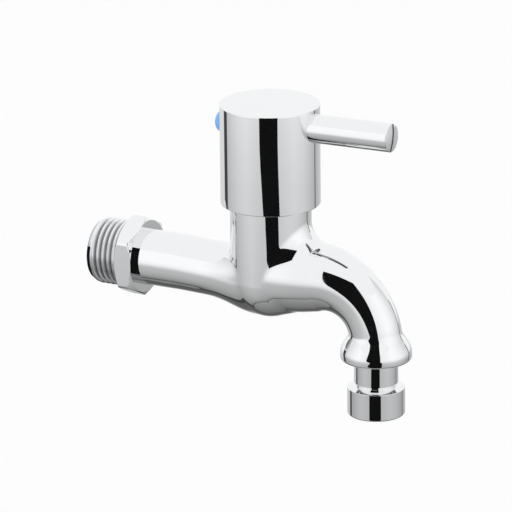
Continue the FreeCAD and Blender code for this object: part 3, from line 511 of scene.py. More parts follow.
def casting_field(p, s):
    """Distance from the casting's outside, and the direction straight away from it."""
    height = p[..., 2]
    low = smooth_step((ROOT_HIGH - height) / ROOT_DEPTH)
    root_fillet = s.root_fillet + (s.belly_fillet - s.root_fillet) * low
    root = joined(tube_field(p), chamber_field(p, s.neck_radius), root_fillet)
    spout = joined(spout_field(p, s), bell_field(p, s), BELL_FILLET)
    beside = smooth_step((SIDE_HIGH - height) / SIDE_FADE) * smooth_step((height - SIDE_LOW) / SIDE_FADE)
    return joined(root, spout, s.spout_fillet + (s.side_fillet - s.spout_fillet) * beside)


# The casting's grid

# The hexagon's corners as places across and up, in order of their angle from the top. They are a
# little uneven, as hand grinding leaves them.
HEXAGON = np.array([(-11.5, 7.3), (0.6, 12.8), (11.5, 7.3), (11.2, -7.6), (-0.6, -12.9), (-11.2, -7.6)])
LEAST_FACING = 0.2  # a flat that an angle meets less squarely than this is out of its reach

# Columns over one flat, in degrees from its middle on a regular hexagon: even over most of it and
# closer at its two ends
HALF_FLAT = 30.0
EVEN_COLUMNS = np.linspace(-24.0, 24.0, 33)
END_COLUMNS = np.array([25.4, 26.6, 27.5, 28.2, 28.8, 29.3, 29.7])

# Rows over the hexagon, by how far they lie from its nearer face: close over the chamfer, then even
CHAMFER_ANGLE = math.radians(30)  # between a chamfer and a face
CHAMFER_ROWS = np.array([0, 0.03, 0.08, 0.15, 0.23, 0.31, 0.4, 0.5, 0.6, 0.7, 0.8, 0.92, 1.05])
EVEN_ROWS_START = 1.3
EVEN_ROWS = 7

# Rings on the hexagon's faces: on the front one by how far they lie inside its edge, and on the back
# one by their share of the way from its edge to the tube
FRONT_RINGS = np.array([[0.25], [0.12], [0.04]])
BACK_RINGS = np.array([[0.02], [0.06], [0.3], [0.6], [0.9], [0.98], [1.0]])

# How far the roundings of the hexagon's edges reach: between two flats, between a chamfer and the
# turned corners, and between a flat and the turned outline
CORNER_ROUNDING = 0.12
TURNED_ROUNDING = 0.2
FLAT_ROUNDING = 0.1

INLET_BORE_END = 24.0  # where the inlet's bore ends in a cap, which nobody can see
TUBE_EDGE = np.array([0.05, 0.12])  # rows on the tube close behind the hexagon
TUBE_ROWS = 8  # rows from there to the slices
SLICES_X = 12.0  # where the slices begin, on the plain tube
SLICE_STEP = 0.62  # distance from slice to slice
RISE_START_X = VALVE_X - 4.0  # where the slices' middles start to pass over to the spout's line
BELL_SLICES = 8  # level slices below the bend
RAY_STEPS = 30  # steps that bring the slices' points onto the casting
NECK_ROWS = 55  # rows from the opening up to the neck's rim
NECK_STEPS = 12  # steps that bring their points onto the casting

# The opening under the neck: where it starts along the tube, where it ends round the bend, and how
# far down it reaches on each side
OPENING_START_X = 33.6
OPENING_END_TURN = math.radians(13.0)
OPENING_HALF_ANGLE = math.radians(70.0)

# The bores that nobody sees: the water's hole under the seat, the pocket below it, and the place
# along the tap where the spout's bore ends in a cap
WATER_HOLE_RADIUS = 5.5
POCKET_RADIUS = 6.5
POCKET_TOP = -0.2
POCKET_BOTTOM = -6.4
POCKET_CAP_RADIUS = 4.5
SPOUT_BORE_X = VALVE_X + 14.0

CLOSE = 0.05  # a ring this close to a sharp edge lets the surface shade flat up to it


def hexagon_angles():
    """The angles of the casting's columns from the top: 48 to each flat, closer at its two ends."""
    places = np.sort(np.concatenate([EVEN_COLUMNS, END_COLUMNS, -END_COLUMNS, [HALF_FLAT]]))
    share = (places + HALF_FLAT) / (2 * HALF_FLAT)
    corners = np.unwrap(np.arctan2(HEXAGON[:, 0], HEXAGON[:, 1]))
    turn = np.diff(corners, append=corners[0] + 2 * math.pi)
    return (corners[:, None] + turn[:, None] * share).ravel()


def hexagon_radii(angles):
    """How far the hexagon's outline lies from the inlet's axis at each angle.

    A flat is met at its distance divided by the cosine of the angle between it and the ray. The
    nearest flat counts, and the second nearest rounds the corner between them.
    """
    along = np.roll(HEXAGON, -1, axis=0) - HEXAGON
    out = np.stack([-along[:, 1], along[:, 0]], axis=-1) / np.linalg.norm(along, axis=-1)[:, None]
    out *= np.sign((out * HEXAGON).sum(-1))[:, None]
    facing = out[:, :1] * np.sin(angles) + out[:, 1:] * np.cos(angles)
    reach = (out * HEXAGON).sum(-1)[:, None] / np.maximum(facing, LEAST_FACING)
    nearest = np.sort(reach, axis=0)
    return smaller(nearest[0], nearest[1], CORNER_ROUNDING)


def hexagon_rows(angles, s):
    """The inlet's bore, the hexagon and the tube's start: rows along the inlet, and their radii.

    The rows run out of the bore, over the front face, the flats and the back face, and onto the tube.
    Over the flats the radius is the smaller of the hexagon's outline and of a turned outline, which has
    a cone at each end.
    """
    end = s.hexagon_length
    even = np.linspace(EVEN_ROWS_START, end - EVEN_ROWS_START, EVEN_ROWS)
    along = np.concatenate([CHAMFER_ROWS, even, end - CHAMFER_ROWS[::-1]])
    cone = s.face_radius + np.minimum(along, end - along) / math.tan(CHAMFER_ANGLE)
    turned_outline = smaller(cone, s.turned_radius, TURNED_ROUNDING)
    flats = smaller(hexagon_radii(angles), turned_outline[:, None], FLAT_ROUNDING)

    bore = np.full((2, len(angles)), s.bore)
    front = flats[0] - FRONT_RINGS
    back = flats[-1] * (1 - BACK_RINGS) + s.tube_radius * BACK_RINGS
    behind = end + TUBE_EDGE
    tube = np.concatenate([behind, np.linspace(behind[-1], SLICES_X, TUBE_ROWS + 2)[1:-1]])
    plain = np.full((len(tube), len(angles)), s.tube_radius)

    rows = [[INLET_BORE_END], np.zeros(1 + len(front)), along, np.full(len(back), end), tube]
    return np.concatenate(rows), np.concatenate([bore, front, flats, back, plain])


def inlet_rings(rows, radii, angles):
    """Rings about the inlet's axis, one for each row along it, with a radius for each angle."""
    along = np.broadcast_to(rows[:, None], radii.shape)
    return np.stack([along, radii * np.sin(angles), radii * np.cos(angles)], axis=-1)


def upright_rings(x, outline, angles):
    """Rings about an upright axis at x, one for each (radius, height) of an outline."""
    outline = np.array(outline)
    radius = outline[:, :1]
    height = np.broadcast_to(outline[:, 1:], (len(outline), len(angles)))
    return np.stack([x + radius * np.cos(angles), radius * np.sin(angles), height], axis=-1)


def slices(s):
    """The slices of the tube, spout and bell: each one's middle and its upward direction.

    The slices stand across X up to the bend, fan out round the bend's middle, and lie flat below it.
    Their middles follow the tube's line and then pass over to the spout's line. The numbers of the
    slices where the opening under the neck starts and ends come with them.
    """
    bend_x, bend_z = bend_middle(s)
    x = np.linspace(SLICES_X, bend_x, round((bend_x - SLICES_X) / SLICE_STEP) + 1)
    drop, _ = spline(x, TUBE_STATIONS[:, 0], TUBE_STATIONS[:, 1])
    share = smooth_step((x - RISE_START_X) / (bend_x - RISE_START_X))
    straight = np.stack([x, 0 * x, s.spout_height * share - drop * (1 - share)], axis=-1)
    upright = np.tile([0.0, 0.0, 1.0], (len(x), 1))

    turn = np.linspace(0, QUARTER_TURN, round(s.bend_radius * QUARTER_TURN / SLICE_STEP) + 1)[1:]
    lean = np.stack([np.sin(turn), 0 * turn, np.cos(turn)], axis=-1)
    bend = np.array([bend_x, 0, bend_z]) + s.bend_radius * lean

    z = np.linspace(bend_z, BELL_WIDE, BELL_SLICES + 1)[1:]
    flat = np.stack([np.full_like(z, OUTLET_X), 0 * z, z], axis=-1)
    forward = np.tile([1.0, 0.0, 0.0], (len(z), 1))

    start = np.searchsorted(x, OPENING_START_X)
    end = len(x) + np.searchsorted(turn, OPENING_END_TURN)
    return np.concatenate([straight, bend, flat]), np.concatenate([upright, lean, forward]), start, end


def on_rays(middles, spokes, s):
    """Where rays from the middles meet the casting, found from outside in by Newton's steps."""
    nearest, farthest = 4.0, 22.0
    least_facing = 0.4
    out = np.full(spokes.shape[:-1], farthest)
    for _ in range(RAY_STEPS):
        value, toward = casting_field(middles + out[..., None] * spokes, s)
        facing = (toward * spokes).sum(-1)
        out = np.clip(out - value / np.where(facing > least_facing, facing, 1.0), nearest, farthest)
    return middles + out[..., None] * spokes


def neck_patch(loop, s):
    """The neck and its fillets, from a loop of points on the casting up to the neck's rim.

    Each column starts at a point of the loop, keeps its angle round the valve's axis, and follows a
    curve of the second degree to the rim, whose control point lies near the neck and rises with it
    where the loop is close. All points then move onto the casting along its field.
    """
    foot_gap = 0.1  # the control point's distance from the neck, as a share of the loop's
    foot_rise, foot_lift = 0.3, 1.5  # its height: a share of the way up, and millimetres
    far, span = 18.0, 6.0  # that share counts from this reach inwards, and in full after this distance

    x, y, z = loop[:, 0] - VALVE_X, loop[:, 1], loop[:, 2]
    reach, angle = np.hypot(x, y), np.arctan2(y, x)
    top = s.neck_top - s.neck_edge
    foot_reach = s.neck_radius + foot_gap * (reach - s.neck_radius)
    foot_z = z + foot_rise * (top - z) * smooth_step((far - reach) / span) + foot_lift
    t = np.linspace(0, 1, NECK_ROWS + 1)[1:, None]
    out = (1 - t) ** 2 * reach + 2 * t * (1 - t) * foot_reach + t**2 * s.neck_radius
    up = (1 - t) ** 2 * z + 2 * t * (1 - t) * foot_z + t**2 * top
    points = np.stack([VALVE_X + out * np.cos(angle), out * np.sin(angle), up], axis=-1)
    for _ in range(NECK_STEPS):
        value, toward = casting_field(points[:-1], s)
        points[:-1] -= value[..., None] * toward
    return points, angle


def rim_arc(radius, height, edge, inside, count):
    """A rim's rounded outer edge as (radius, height). The metal lies above it (1) or below it (-1)."""
    turn = np.linspace(0, QUARTER_TURN, count + 1)[1:]
    return list(zip(radius - edge * (1 - np.cos(turn)), height + inside * edge * (1 - np.sin(turn))))


def bell_outline(s):
    """The bell's wall and rim, the socket and the start of the spout's bore, as (radius, height)."""
    bottom, top = -s.bell_bottom, -s.socket_top
    mouth = s.socket_radius + s.socket_edge
    chamfer_top = bottom + s.socket_edge
    return [
        *[(s.bell_radius, z) for z in np.linspace(BELL_WIDE, bottom + s.bell_edge, 3)[1:]],
        *rim_arc(s.bell_radius, bottom, s.bell_edge, 1, 6),
        (mouth + CLOSE, bottom),
        (mouth, bottom),
        (s.socket_radius, chamfer_top),
        (s.socket_radius, chamfer_top + CLOSE),
        (s.socket_radius, top - CLOSE),
        (s.socket_radius, top),
        (s.spout_bore, top),
        (s.spout_bore, top + 2 * CLOSE),
    ]


def chamber_outline(s):
    """The neck's rim and mouth, the valve's chamber and the bores under it, as (radius, height)."""
    return [
        *rim_arc(s.neck_radius, s.neck_top, s.neck_edge, -1, 4),
        (s.mouth_radius, s.neck_top),
        (s.mouth_radius, s.mouth_bottom),
        (s.chamber_radius, s.mouth_bottom),
        (s.chamber_radius, s.chamber_bottom),
        (WATER_HOLE_RADIUS, s.chamber_bottom),
        (WATER_HOLE_RADIUS, POCKET_TOP),
        (POCKET_RADIUS, POCKET_TOP),
        (POCKET_RADIUS, POCKET_BOTTOM),
        (POCKET_CAP_RADIUS, POCKET_BOTTOM),
    ]


def spout_bore(middles, spokes, s):
    """Rings of the spout's bore, from above the socket back towards the chamber."""
    step, clear = 3, 4  # every third slice, but for those close above the socket
    start = np.searchsorted(middles[:, 0], SPOUT_BORE_X)
    end = np.flatnonzero(middles[:, 2] > -s.socket_top)[-1] - clear
    rings = middles[:, None] + s.spout_bore * spokes
    return rings[start:end:step][::-1]


def opened(angles, rows, low, high):
    """A grid's quads without those under the neck, and the loop of points round that opening.

    The opening lies between the rows low and high, and reaches equally far down on both sides.
    """
    columns = len(angles)
    quads = grid_faces(rows, columns)
    top = int(np.argmin(np.abs(angles)))
    half = int(np.searchsorted(angles, OPENING_HALF_ANGLE)) - top
    row, column = np.divmod(np.arange(len(quads)), columns)
    from_top = (column - top + columns // 2) % columns - columns // 2
    inside = (row >= low) & (row < high) & (from_top >= -half) & (from_top < half)

    across, along = np.arange(-half, half), np.arange(low, high)
    loop_rows = np.concatenate([0 * across + low, along, 0 * across + high, along[::-1] + 1])
    loop_columns = np.concatenate([across, 0 * along + half, across[::-1] + 1, 0 * along - half])
    return quads[~inside], loop_rows * columns + (loop_columns + top) % columns


def casting_shape(inlet, s):
    """The casting's points and faces, in millimetres.

    One grid runs out of the inlet's bore, over the hexagon, tube, spout and bell, and up the socket
    into the spout's bore. It has an opening below the neck, which a second grid fills up to the rim and
    down into the chamber. The bores end in caps where nobody can look.
    """
    angles = hexagon_angles()
    inlet_part = inlet_rings(*hexagon_rows(angles, inlet), angles)
    middles, ups, open_start, open_end = slices(s)
    side = np.array([0.0, 1.0, 0.0])
    spokes = np.cos(angles)[:, None] * ups[:, None] + np.sin(angles)[:, None] * side
    outside = on_rays(middles[:, None], spokes, s)
    bell = upright_rings(OUTLET_X, bell_outline(s), angles)
    grid = np.concatenate([inlet_part, outside, bell, spout_bore(middles, spokes, s)])
    rows, columns = grid.shape[:2]
    first = len(inlet_part)
    quads, loop = opened(angles, rows, first + open_start, first + open_end)

    flat = grid.reshape(-1, 3)
    neck, loop_angles = neck_patch(flat[loop], s)
    neck = np.concatenate([neck, upright_rings(VALVE_X, chamber_outline(s), loop_angles)])
    count = len(loop)
    ring = np.arange(count)
    neck_quads = grid_faces(len(neck), count) + len(flat)
    seam = np.stack([loop, np.roll(loop, -1), len(flat) + np.roll(ring, -1), len(flat) + ring], axis=-1)

    points = np.concatenate([flat, neck.reshape(-1, 3)])
    caps = np.stack([grid[0].mean(0), grid[-1].mean(0), neck[-1].mean(0)])
    around = np.arange(columns)
    closing = [
        fan(around[::-1], len(points)),
        fan(around + (rows - 1) * columns, len(points) + 1),
        fan(ring + len(points) - count, len(points) + 2),
    ]
    return np.concatenate([points, caps]), [quads, neck_quads, seam, *closing]


# The inlet's thread

THREAD_COLUMNS = 240
THREAD_ROWS = 190
LEAD_LENGTH = 1.5  # how far from the end the thread starts, behind the conical lead
LEAD_SLOPE = 0.55  # how much the lead's radius grows for each millimetre along it
LEAD_ROUNDING = 0.12
CUT_IN = 0.9  # over this length the thread reaches its full depth
RUN_OUT = 1.1  # over this length it fades at the hexagon


def thread_shape(s):
    """The inlet thread's points and faces: a helix whose crests and hollows follow a cosine.

    The radius falls from the crest by half the depth times one less the cosine of the place along the
    helix. The thread fades to the crest's radius at the hexagon, where the cutter runs out, and a cone
    at its other end leads it in. Inside it runs back through the bore.
    """
    angle = np.linspace(0, 2 * math.pi, THREAD_COLUMNS, endpoint=False)
    x = np.linspace(-s.thread_length, 0, THREAD_ROWS)[:, None]
    from_end = x + s.thread_length
    fade = smooth_step(-x / RUN_OUT) * smooth_step((from_end - LEAD_LENGTH) / CUT_IN)
    wave = (1 - np.cos(2 * math.pi * x / s.pitch + angle)) / 2
    cone = s.thread_radius - s.lead_drop + from_end * LEAD_SLOPE
    outside = smaller(s.thread_radius - s.depth * fade * wave, cone, LEAD_ROUNDING)

    bore = np.full((1, THREAD_COLUMNS), s.bore)
    radii = np.concatenate([bore, bore + s.bore_edge, outside, bore])
    rows = np.concatenate([[s.bore_edge - s.thread_length, -s.thread_length], x[:, 0], [0.0]])
    points = inlet_rings(rows, radii, angle)
    return points.reshape(-1, 3), [grid_faces(len(points), THREAD_COLUMNS, closed=True)]


# Finishes

NOISE_LOW, NOISE_HIGH = 0.35, 0.65  # most of a noise pattern lies between these values


def add_node(tree, kind, settings=None, links=None):
    """Adds a shader node, sets its properties and sockets, and links what comes from other nodes."""
    node = tree.nodes.new(kind)
    for key, value in (settings or {}).items():
        if hasattr(node, key):
            setattr(node, key, value)
        else:
            node.inputs[key].default_value = value
    for key, source in (links or {}).items():
        tree.links.new(source, node.inputs[key])
    return node


def new_material(name):
    """An empty material with its output and its object coordinates ready."""
    material = bpy.data.materials.new(name)
    material.use_nodes = True
    tree = material.node_tree
    tree.nodes.clear()
    output = add_node(tree, "ShaderNodeOutputMaterial")
    place = add_node(tree, "ShaderNodeTexCoord").outputs["Object"]
    return material, tree, output, place


def ripple(tree, place, size, detail, height):
    """The direction of a surface that a noise raises: its lumps are this wide and high, in millimetres."""
    settings = {"Scale": 1 / (size * MM), "Detail": detail}
    lumps = add_node(tree, "ShaderNodeTexNoise", settings, {"Vector": place})
    settings = {"Strength": 1.0, "Distance": height * MM}
    return add_node(tree, "ShaderNodeBump", settings, {"Height": lumps.outputs["Fac"]}).outputs["Normal"]


def finished(name, tint, metallic, roughness, haze, lift, lift_mm, coat=0.0):
    """A material whose gloss varies with one noise and whose surface rises and falls with another.

    Roughness is a pair of values, and haze and lift are (size in millimetres, detail) of the noises.
    """
    material, tree, output, place = new_material(name)
    size, detail = haze
    settings = {"Scale": 1 / (size * MM), "Detail": detail}
    cloud = add_node(tree, "ShaderNodeTexNoise", settings, {"Vector": place})
    smooth, rough = roughness
    settings = {"From Min": NOISE_LOW, "From Max": NOISE_HIGH, "To Min": smooth, "To Max": rough}
    gloss = add_node(tree, "ShaderNodeMapRange", settings, {"Value": cloud.outputs["Fac"]})
    shader = add_node(
        tree,
        "ShaderNodeBsdfPrincipled",
        {"Base Color": (*tint, 1.0), "Metallic": metallic, "Coat Weight": coat},
        {"Roughness": gloss.outputs["Result"], "Normal": ripple(tree, place, *lift, lift_mm)},
    )
    tree.links.new(shader.outputs["BSDF"], output.inputs["Surface"])
    return material


def threaded_chrome(name, tint, painted_root_shade, root, crest):
    """Chromium plate on a cut thread: bright on the crests, and painted a darker grey at the roots as the
    shade in its hollows.

    The share of brightness is the distance from the inlet's axis between the two radii given.
    """
    material, tree, output, place = new_material(name)
    flat = add_node(tree, "ShaderNodeVectorMath", {"operation": "MULTIPLY"}, {0: place})
    flat.inputs[1].default_value = (0.0, 1.0, 1.0)
    reach = add_node(tree, "ShaderNodeVectorMath", {"operation": "LENGTH"}, {0: flat.outputs["Vector"]})
    settings = {"From Min": root * MM, "From Max": crest * MM}
    share = add_node(tree, "ShaderNodeMapRange", settings, {"Value": reach.outputs["Value"]})
    # the darker grey at the roots is painted shade, and it passes to the chrome's colour at the crests
    mix = add_node(tree, "ShaderNodeMix", {"data_type": "RGBA"}, {"Factor": share.outputs["Result"]})
    mix.inputs["A"].default_value = (*painted_root_shade, 1.0)
    mix.inputs["B"].default_value = (*tint, 1.0)
    lathe_marks = ripple(tree, place, size=0.5, detail=2.0, height=0.01)
    shader = add_node(
        tree,
        "ShaderNodeBsdfPrincipled",
        {"Metallic": 1.0, "Roughness": 0.06},
        {"Base Color": mix.outputs["Result"], "Normal": lathe_marks},
    )
    tree.links.new(shader.outputs["BSDF"], output.inputs["Surface"])
    return material


finish = {}  # the materials by name, which the first operator makes

# Which finish each CAD piece has
DRESSED = {
    "chrome_cast": ("tap_body",),
    "chrome_turned": ("outlet_nozzle", "handle_cap", "lever_bar"),
    "brass": ("valve_bonnet", "spindle", "spline_insert"),
    "steel": ("retaining_clip", "lever_stud", "set_screw", "gasket_support_ring"),
    "rubber": ("nozzle_gasket", "bonnet_gasket", "seat_gasket", "lower_o_ring", "upper_o_ring"),
    "ceramic": ("fixed_disc", "moving_disc"),
    "acetal": ("thrust_washer",),
    "button": ("index_plug",),
}


class TAP_OT_finishes(bpy.types.Operator):
    """Makes the materials and gives them to the CAD pieces"""

    bl_idname = "tap.finishes"
    bl_label = "Finishes"

    def execute(self, context):
        c = context.scene.tap_colours
        # Chromium plate on hand-polished cast brass: a mirror with a slight swell in its reflections
        finish["chrome_cast"] = finished(
            "polished_chrome_on_cast_brass", c.chrome, metallic=1.0, roughness=(0.02, 0.045),
            haze=(3.0, 3.0), lift=(11.0, 1.0), lift_mm=0.03,
        )
        # Chromium plate on turned brass: a truer mirror, whose edges of light stay straight
        finish["chrome_turned"] = finished(
            "polished_chrome_on_turned_brass", c.chrome, metallic=1.0, roughness=(0.02, 0.035),
            haze=(3.0, 3.0), lift=(16.0, 1.0), lift_mm=0.005,
        )
        # Chromium plate on the cut thread: bright crests, and roots painted a darker grey as the shade in
        # its hollows
        finish["chrome_thread"] = threaded_chrome(
            "chrome_plated_cut_thread", c.chrome, painted_root_shade=linear("#8E9093"), root=9.35, crest=10.2
        )
        # Free-cutting brass as it leaves the lathe: warm yellow, with a fine tooled haze
        finish["brass"] = finished(
            "machined_brass", c.brass, metallic=1.0, roughness=(0.18, 0.3),
            haze=(1.5, 2.0), lift=(0.5, 2.0), lift_mm=0.004,
        )
        # Stainless steel wire and screws: grey and half bright
        finish["steel"] = finished(
            "bright_stainless_steel", c.steel, metallic=1.0, roughness=(0.2, 0.32),
            haze=(1.5, 2.0), lift=(0.5, 2.0), lift_mm=0.004,
        )
        # Compression-moulded nitrile rubber: nearly black, with a soft sheen
        finish["rubber"] = finished(
            "moulded_nitrile_rubber", c.rubber, metallic=0.0, roughness=(0.5, 0.65),
            haze=(1.5, 2.0), lift=(0.4, 2.0), lift_mm=0.006,
        )
        # Sintered and lapped alumina: off-white with a stone's gloss
        finish["ceramic"] = finished(
            "lapped_alumina", c.ceramic, metallic=0.0, roughness=(0.1, 0.2),
            haze=(1.0, 2.0), lift=(0.3, 2.0), lift_mm=0.001,
        )
        # Injection-moulded acetal: milky white and waxy
        finish["acetal"] = finished(
            "moulded_acetal", c.acetal, metallic=0.0, roughness=(0.32, 0.45),
            haze=(1.5, 2.0), lift=(0.6, 2.0), lift_mm=0.004,
        )
        # Injection-moulded blue plastic with a polished face: a lamp shows in it as a small bright spot
        finish["button"] = finished(
            "moulded_blue_plastic", c.button, metallic=0.0, roughness=(0.1, 0.16),
            haze=(1.0, 2.0), lift=(1.5, 1.0), lift_mm=0.006, coat=0.4,
        )
        for name, nodes in DRESSED.items():
            for node in nodes:
                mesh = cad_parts[node].data
                mesh.materials.clear()
                mesh.materials.append(finish[name])
        return {"FINISHED"}


# Pieces

# The cap's inside: the rounding of its rims, the thickness of its top, and the hub with its bore
RIM_EDGE = 0.3
ROOF = 3.4
HUB_BOTTOM = 38.5
HUB_BORE = 6.0
HUB_ROOF = 52.2
SLEEVE_OVERLAP = 0.1  # how far the sleeves reach into the cap's skirt
LEVER_RISE = math.radians(1.0)  # how steeply the lever rises towards its end
LEVER_EDGE = 0.92  # where the lever's domed end starts, as a share of its radius
BUTTON_FULLNESS = 2.5  # the exponent of the button's ellipse: 2 is a plain one, and more is fuller
BUTTON_SEAT = 0.6  # how deep the button's foot lies in the cap
BUTTON_SHORT = 0.7  # how much lower its dome is than the solid's
BUTTON_EDGE = 0.1  # chamfer of the button's foot, and how deep its dome starts in the cap


class TAP_OT_casting(bpy.types.Operator):
    """Makes the cast body: hexagon, tube, neck, spout and bell, and the inlet's thread"""

    bl_idname = "tap.casting"
    bl_label = "Casting and thread"

    def execute(self, context):
        inlet = Millimetres(context.scene.tap_inlet)
        casting = Millimetres(context.scene.tap_casting)
        points, faces = casting_shape(inlet, casting)
        body = add_piece("tap_casting", points, faces, finish["chrome_cast"], "body")
        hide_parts("tap_body")
        points, faces = thread_shape(inlet)
        thread = add_piece(
            "inlet_thread", points, faces, finish["chrome_thread"], "body", crease=60
        )
        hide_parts("tap_body")
        return {"FINISHED"}


class TAP_OT_handle(bpy.types.Operator):
    """Makes the turned cap over the valve and the sleeves inside it"""

    bl_idname = "tap.handle"
    bl_label = "Handle cap"

    def execute(self, context):
        s = Millimetres(context.scene.tap_handle)
        inner, roof = s.radius - s.wall, s.top - ROOF
        outline = rounded(
            [
                (s.top, 0, 0),
                (s.top, s.radius, s.edge),
                (s.bottom, s.radius, RIM_EDGE),
                (s.bottom, inner, RIM_EDGE),
                (roof, inner, 0),
                (roof, s.hub_radius, 0),
                (HUB_BOTTOM, s.hub_radius, RIM_EDGE),
                (HUB_BOTTOM, HUB_BORE, 0),
                (HUB_ROOF, HUB_BORE, 0),
                (HUB_ROOF, 0, 0),
            ]
        )
        points, faces = turned(outline, columns=240, origin=(VALVE_X, 0, 0), axis=(0, 0, 1))
        cap = add_piece("handle_shell", points, faces, finish["chrome_turned"], "handle")
        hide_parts("handle_cap")

        start, end = s.sleeve_start, inner + SLEEVE_OVERLAP
        middle = (VALVE_X, 0, s.lever_height)
        for name, direction, bore in (("lever_sleeve", 1, s.stud_bore), ("screw_sleeve", -1, s.screw_bore)):
            corners = [(start, bore), (start, s.sleeve_radius), (end, s.sleeve_radius), (end, bore)]
            outline = rounded([(*corner, 0) for corner in corners])
            points, faces = turned(outline, columns=64, origin=middle, axis=(direction, 0, 0), closed=True)
            sleeve = add_piece(name, points, faces, finish["chrome_turned"], "handle")
            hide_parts("handle_cap")
        return {"FINISHED"}


class TAP_OT_lever(bpy.types.Operator):
    """Makes the round lever, which rises slightly towards its end"""

    bl_idname = "tap.lever"
    bl_label = "Lever"

    def execute(self, context):
        s = Millimetres(context.scene.tap_handle)
        share = np.linspace(LEVER_EDGE, 0, 12)
        dome = [(s.lever_reach - s.lever_crown * q**2, s.lever_radius * q, 0) for q in share]
        dome_foot = s.lever_reach - s.lever_crown
        rod = [
            (s.lever_start, 0, 0),
            (s.lever_start, s.lever_radius, 0.1),
            (dome_foot, s.lever_radius, 0.2),
        ]
        points, faces = turned(
            rounded(rod + dome),
            columns=144,
            origin=(VALVE_X, 0, s.lever_height),
            axis=(math.cos(LEVER_RISE), 0, math.sin(LEVER_RISE)),
        )
        lever = add_piece("lever_rod", points, faces, finish["chrome_turned"], "handle")
        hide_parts("lever_bar")
        return {"FINISHED"}


class TAP_OT_button(bpy.types.Operator):
    """Makes the blue index button, whose dome is half of a full ellipse turned about its middle"""

    bl_idname = "tap.button"
    bl_label = "Index button"

    def execute(self, context):
        s = Millimetres(context.scene.tap_handle)
        low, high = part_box("index_plug")
        middle = (low.z + high.z) / 2 / MM
        tip = VALVE_X - low.x / MM - BUTTON_SHORT
        seat, foot = s.radius - BUTTON_SEAT, s.radius - BUTTON_EDGE
        turn = np.linspace(0, QUARTER_TURN, 33)
        along = foot + (tip - foot) * np.sin(turn) ** (2 / BUTTON_FULLNESS)
        radius = s.button_radius * np.cos(turn) ** (2 / BUTTON_FULLNESS)
        radius[-1] = 0
        stem = [(s.stem_start, 0), (s.stem_start, s.stem_radius), (seat, s.stem_radius)]
        edge = [(seat, s.button_radius - BUTTON_EDGE), (seat + BUTTON_EDGE, s.button_radius)]
        outline = np.concatenate([stem, edge, np.stack([along, radius], axis=-1)])
        points, faces = turned(outline, columns=96, origin=(VALVE_X, 0, middle), axis=(-1, 0, 0))
        button = add_piece("index_button", points, faces, finish["button"], "handle")
        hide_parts("index_plug")
        return {"FINISHED"}


class TAP_OT_nozzle(bpy.types.Operator):
    """Makes the turned nozzle with its neck and collar"""

    bl_idname = "tap.nozzle"
    bl_label = "Nozzle"

    def execute(self, context):
        s = Millimetres(context.scene.tap_nozzle)
        outline = rounded(
            [
                (-s.top, s.bore, 0.2),
                (-s.bottom + s.mouth, s.bore, 0.2),
                (-s.bottom, s.bore + s.mouth, 0.1),
                (-s.bottom, s.collar_radius, 0.6),
                (-s.collar_top, s.collar_radius, 0.15),
                (-s.groove_end, s.groove_radius, 0.1),
                (-s.neck_end, s.neck_radius, 0.1),
                (-s.tail_end, s.neck_radius, 0.05),
                (-s.tail_end, s.tail_radius, 0.1),
                (-s.top, s.tail_radius, 0.3),
            ]
        )
        points, faces = turned(outline, columns=160, origin=(OUTLET_X, 0, 0), axis=(0, 0, 1), closed=True)
        nozzle = add_piece("nozzle", points, faces, finish["chrome_turned"], "body")
        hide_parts("outlet_nozzle")
        return {"FINISHED"}


# Stage

# The camera that was fitted to the photo: it looks at the valve's axis from these angles in degrees
# and this distance, and stands these few millimetres to the left and up. Its lens is a long one.
CAMERA_TURN = 27.72
CAMERA_LIFT = 18.63
CAMERA_ROLL = 0.63
CAMERA_DISTANCE = 1552.8
CAMERA_LEFT = 4.79
CAMERA_UP = 6.09
CAMERA_LENS = 351.6
CAMERA_SENSOR = 36

# The room as the chrome sees it is made of curved cards about the valve's axis. Turns are degrees from
# the camera, and heights and radii are metres, with heights above the inlet's axis. The lists come in
# pairs, which give a panel's light at its heights and a share of it at its turns.
FLOOR_HEIGHT = -1.5
FLOOR_HALF = 20
CARD_COLUMNS, CARD_ROWS = 73, 121
ROOM_RADIUS = 0.8
ROOM_FOOT = -1.45

FRONT_LEFT = -116
FRONT_RIGHT = 121.2
FRONT_TOP = 0.6
FRONT_TURNS = [FRONT_LEFT, -97, -78, -58, -38, -24, 20, 30, 55, 79, 98, 110, FRONT_RIGHT]
FRONT_SHARE = [0.68, 0.82, 0.93, 1.0, 0.93, 0.88, 0.88, 0.92, 1.0, 0.94, 0.82, 0.72, 0.66]
LOW_HEIGHTS = [ROOM_FOOT, -1.39, -1.28, -1.02, -0.695, -0.46, -0.373]
LOW_LIGHT = [0.10, 0.14, 0.30, 0.40, 0.48, 0.53, 0.55]
HIGH_HEIGHTS = [-0.304, -0.269, -0.245, -0.213, -0.185, -0.11, 0.03]
HIGH_LIGHT = [0.58, 0.67, 0.72, 0.76, 0.86, 1.0, 1.1]

REAR_LEFT = 125
REAR_RIGHT = 230
REAR_TOP = -0.1
REAR_TURNS = [REAR_LEFT, 145, 180]
REAR_SHARE = [0.62, 0.75, 0.95]
REAR_HEIGHTS = [ROOM_FOOT, -0.8, -0.5, -0.27, REAR_TOP]
REAR_LIGHT = [0.10, 0.14, 0.45, 0.72, 0.9]

# The narrow dark cards between the panels: the left one ends at this turn, and their tops and light
LEFT_GAP_END = -130
LEFT_GAP_TOP = 0.03
LEFT_GAP_LIGHT = 0.06
RIGHT_GAP_TOP = 0.15
RIGHT_GAP_LIGHT = 0.05

# The dark card before the tap, which makes the black stripes. Each row of its edges is a height with
# the turns of its left and right edge there.
DARK_GAP_RADIUS = 0.3
DARK_GAP_LIGHT = 0.006
DARK_GAP_EDGES = [
    (-0.6, -20, 22),
    (-0.14, -22, 22),
    (-0.085, -12.5, 22),
    (-0.045, -24, 16.5),
    (0.0, -25, 17),
    (0.28, -22, 18),
]

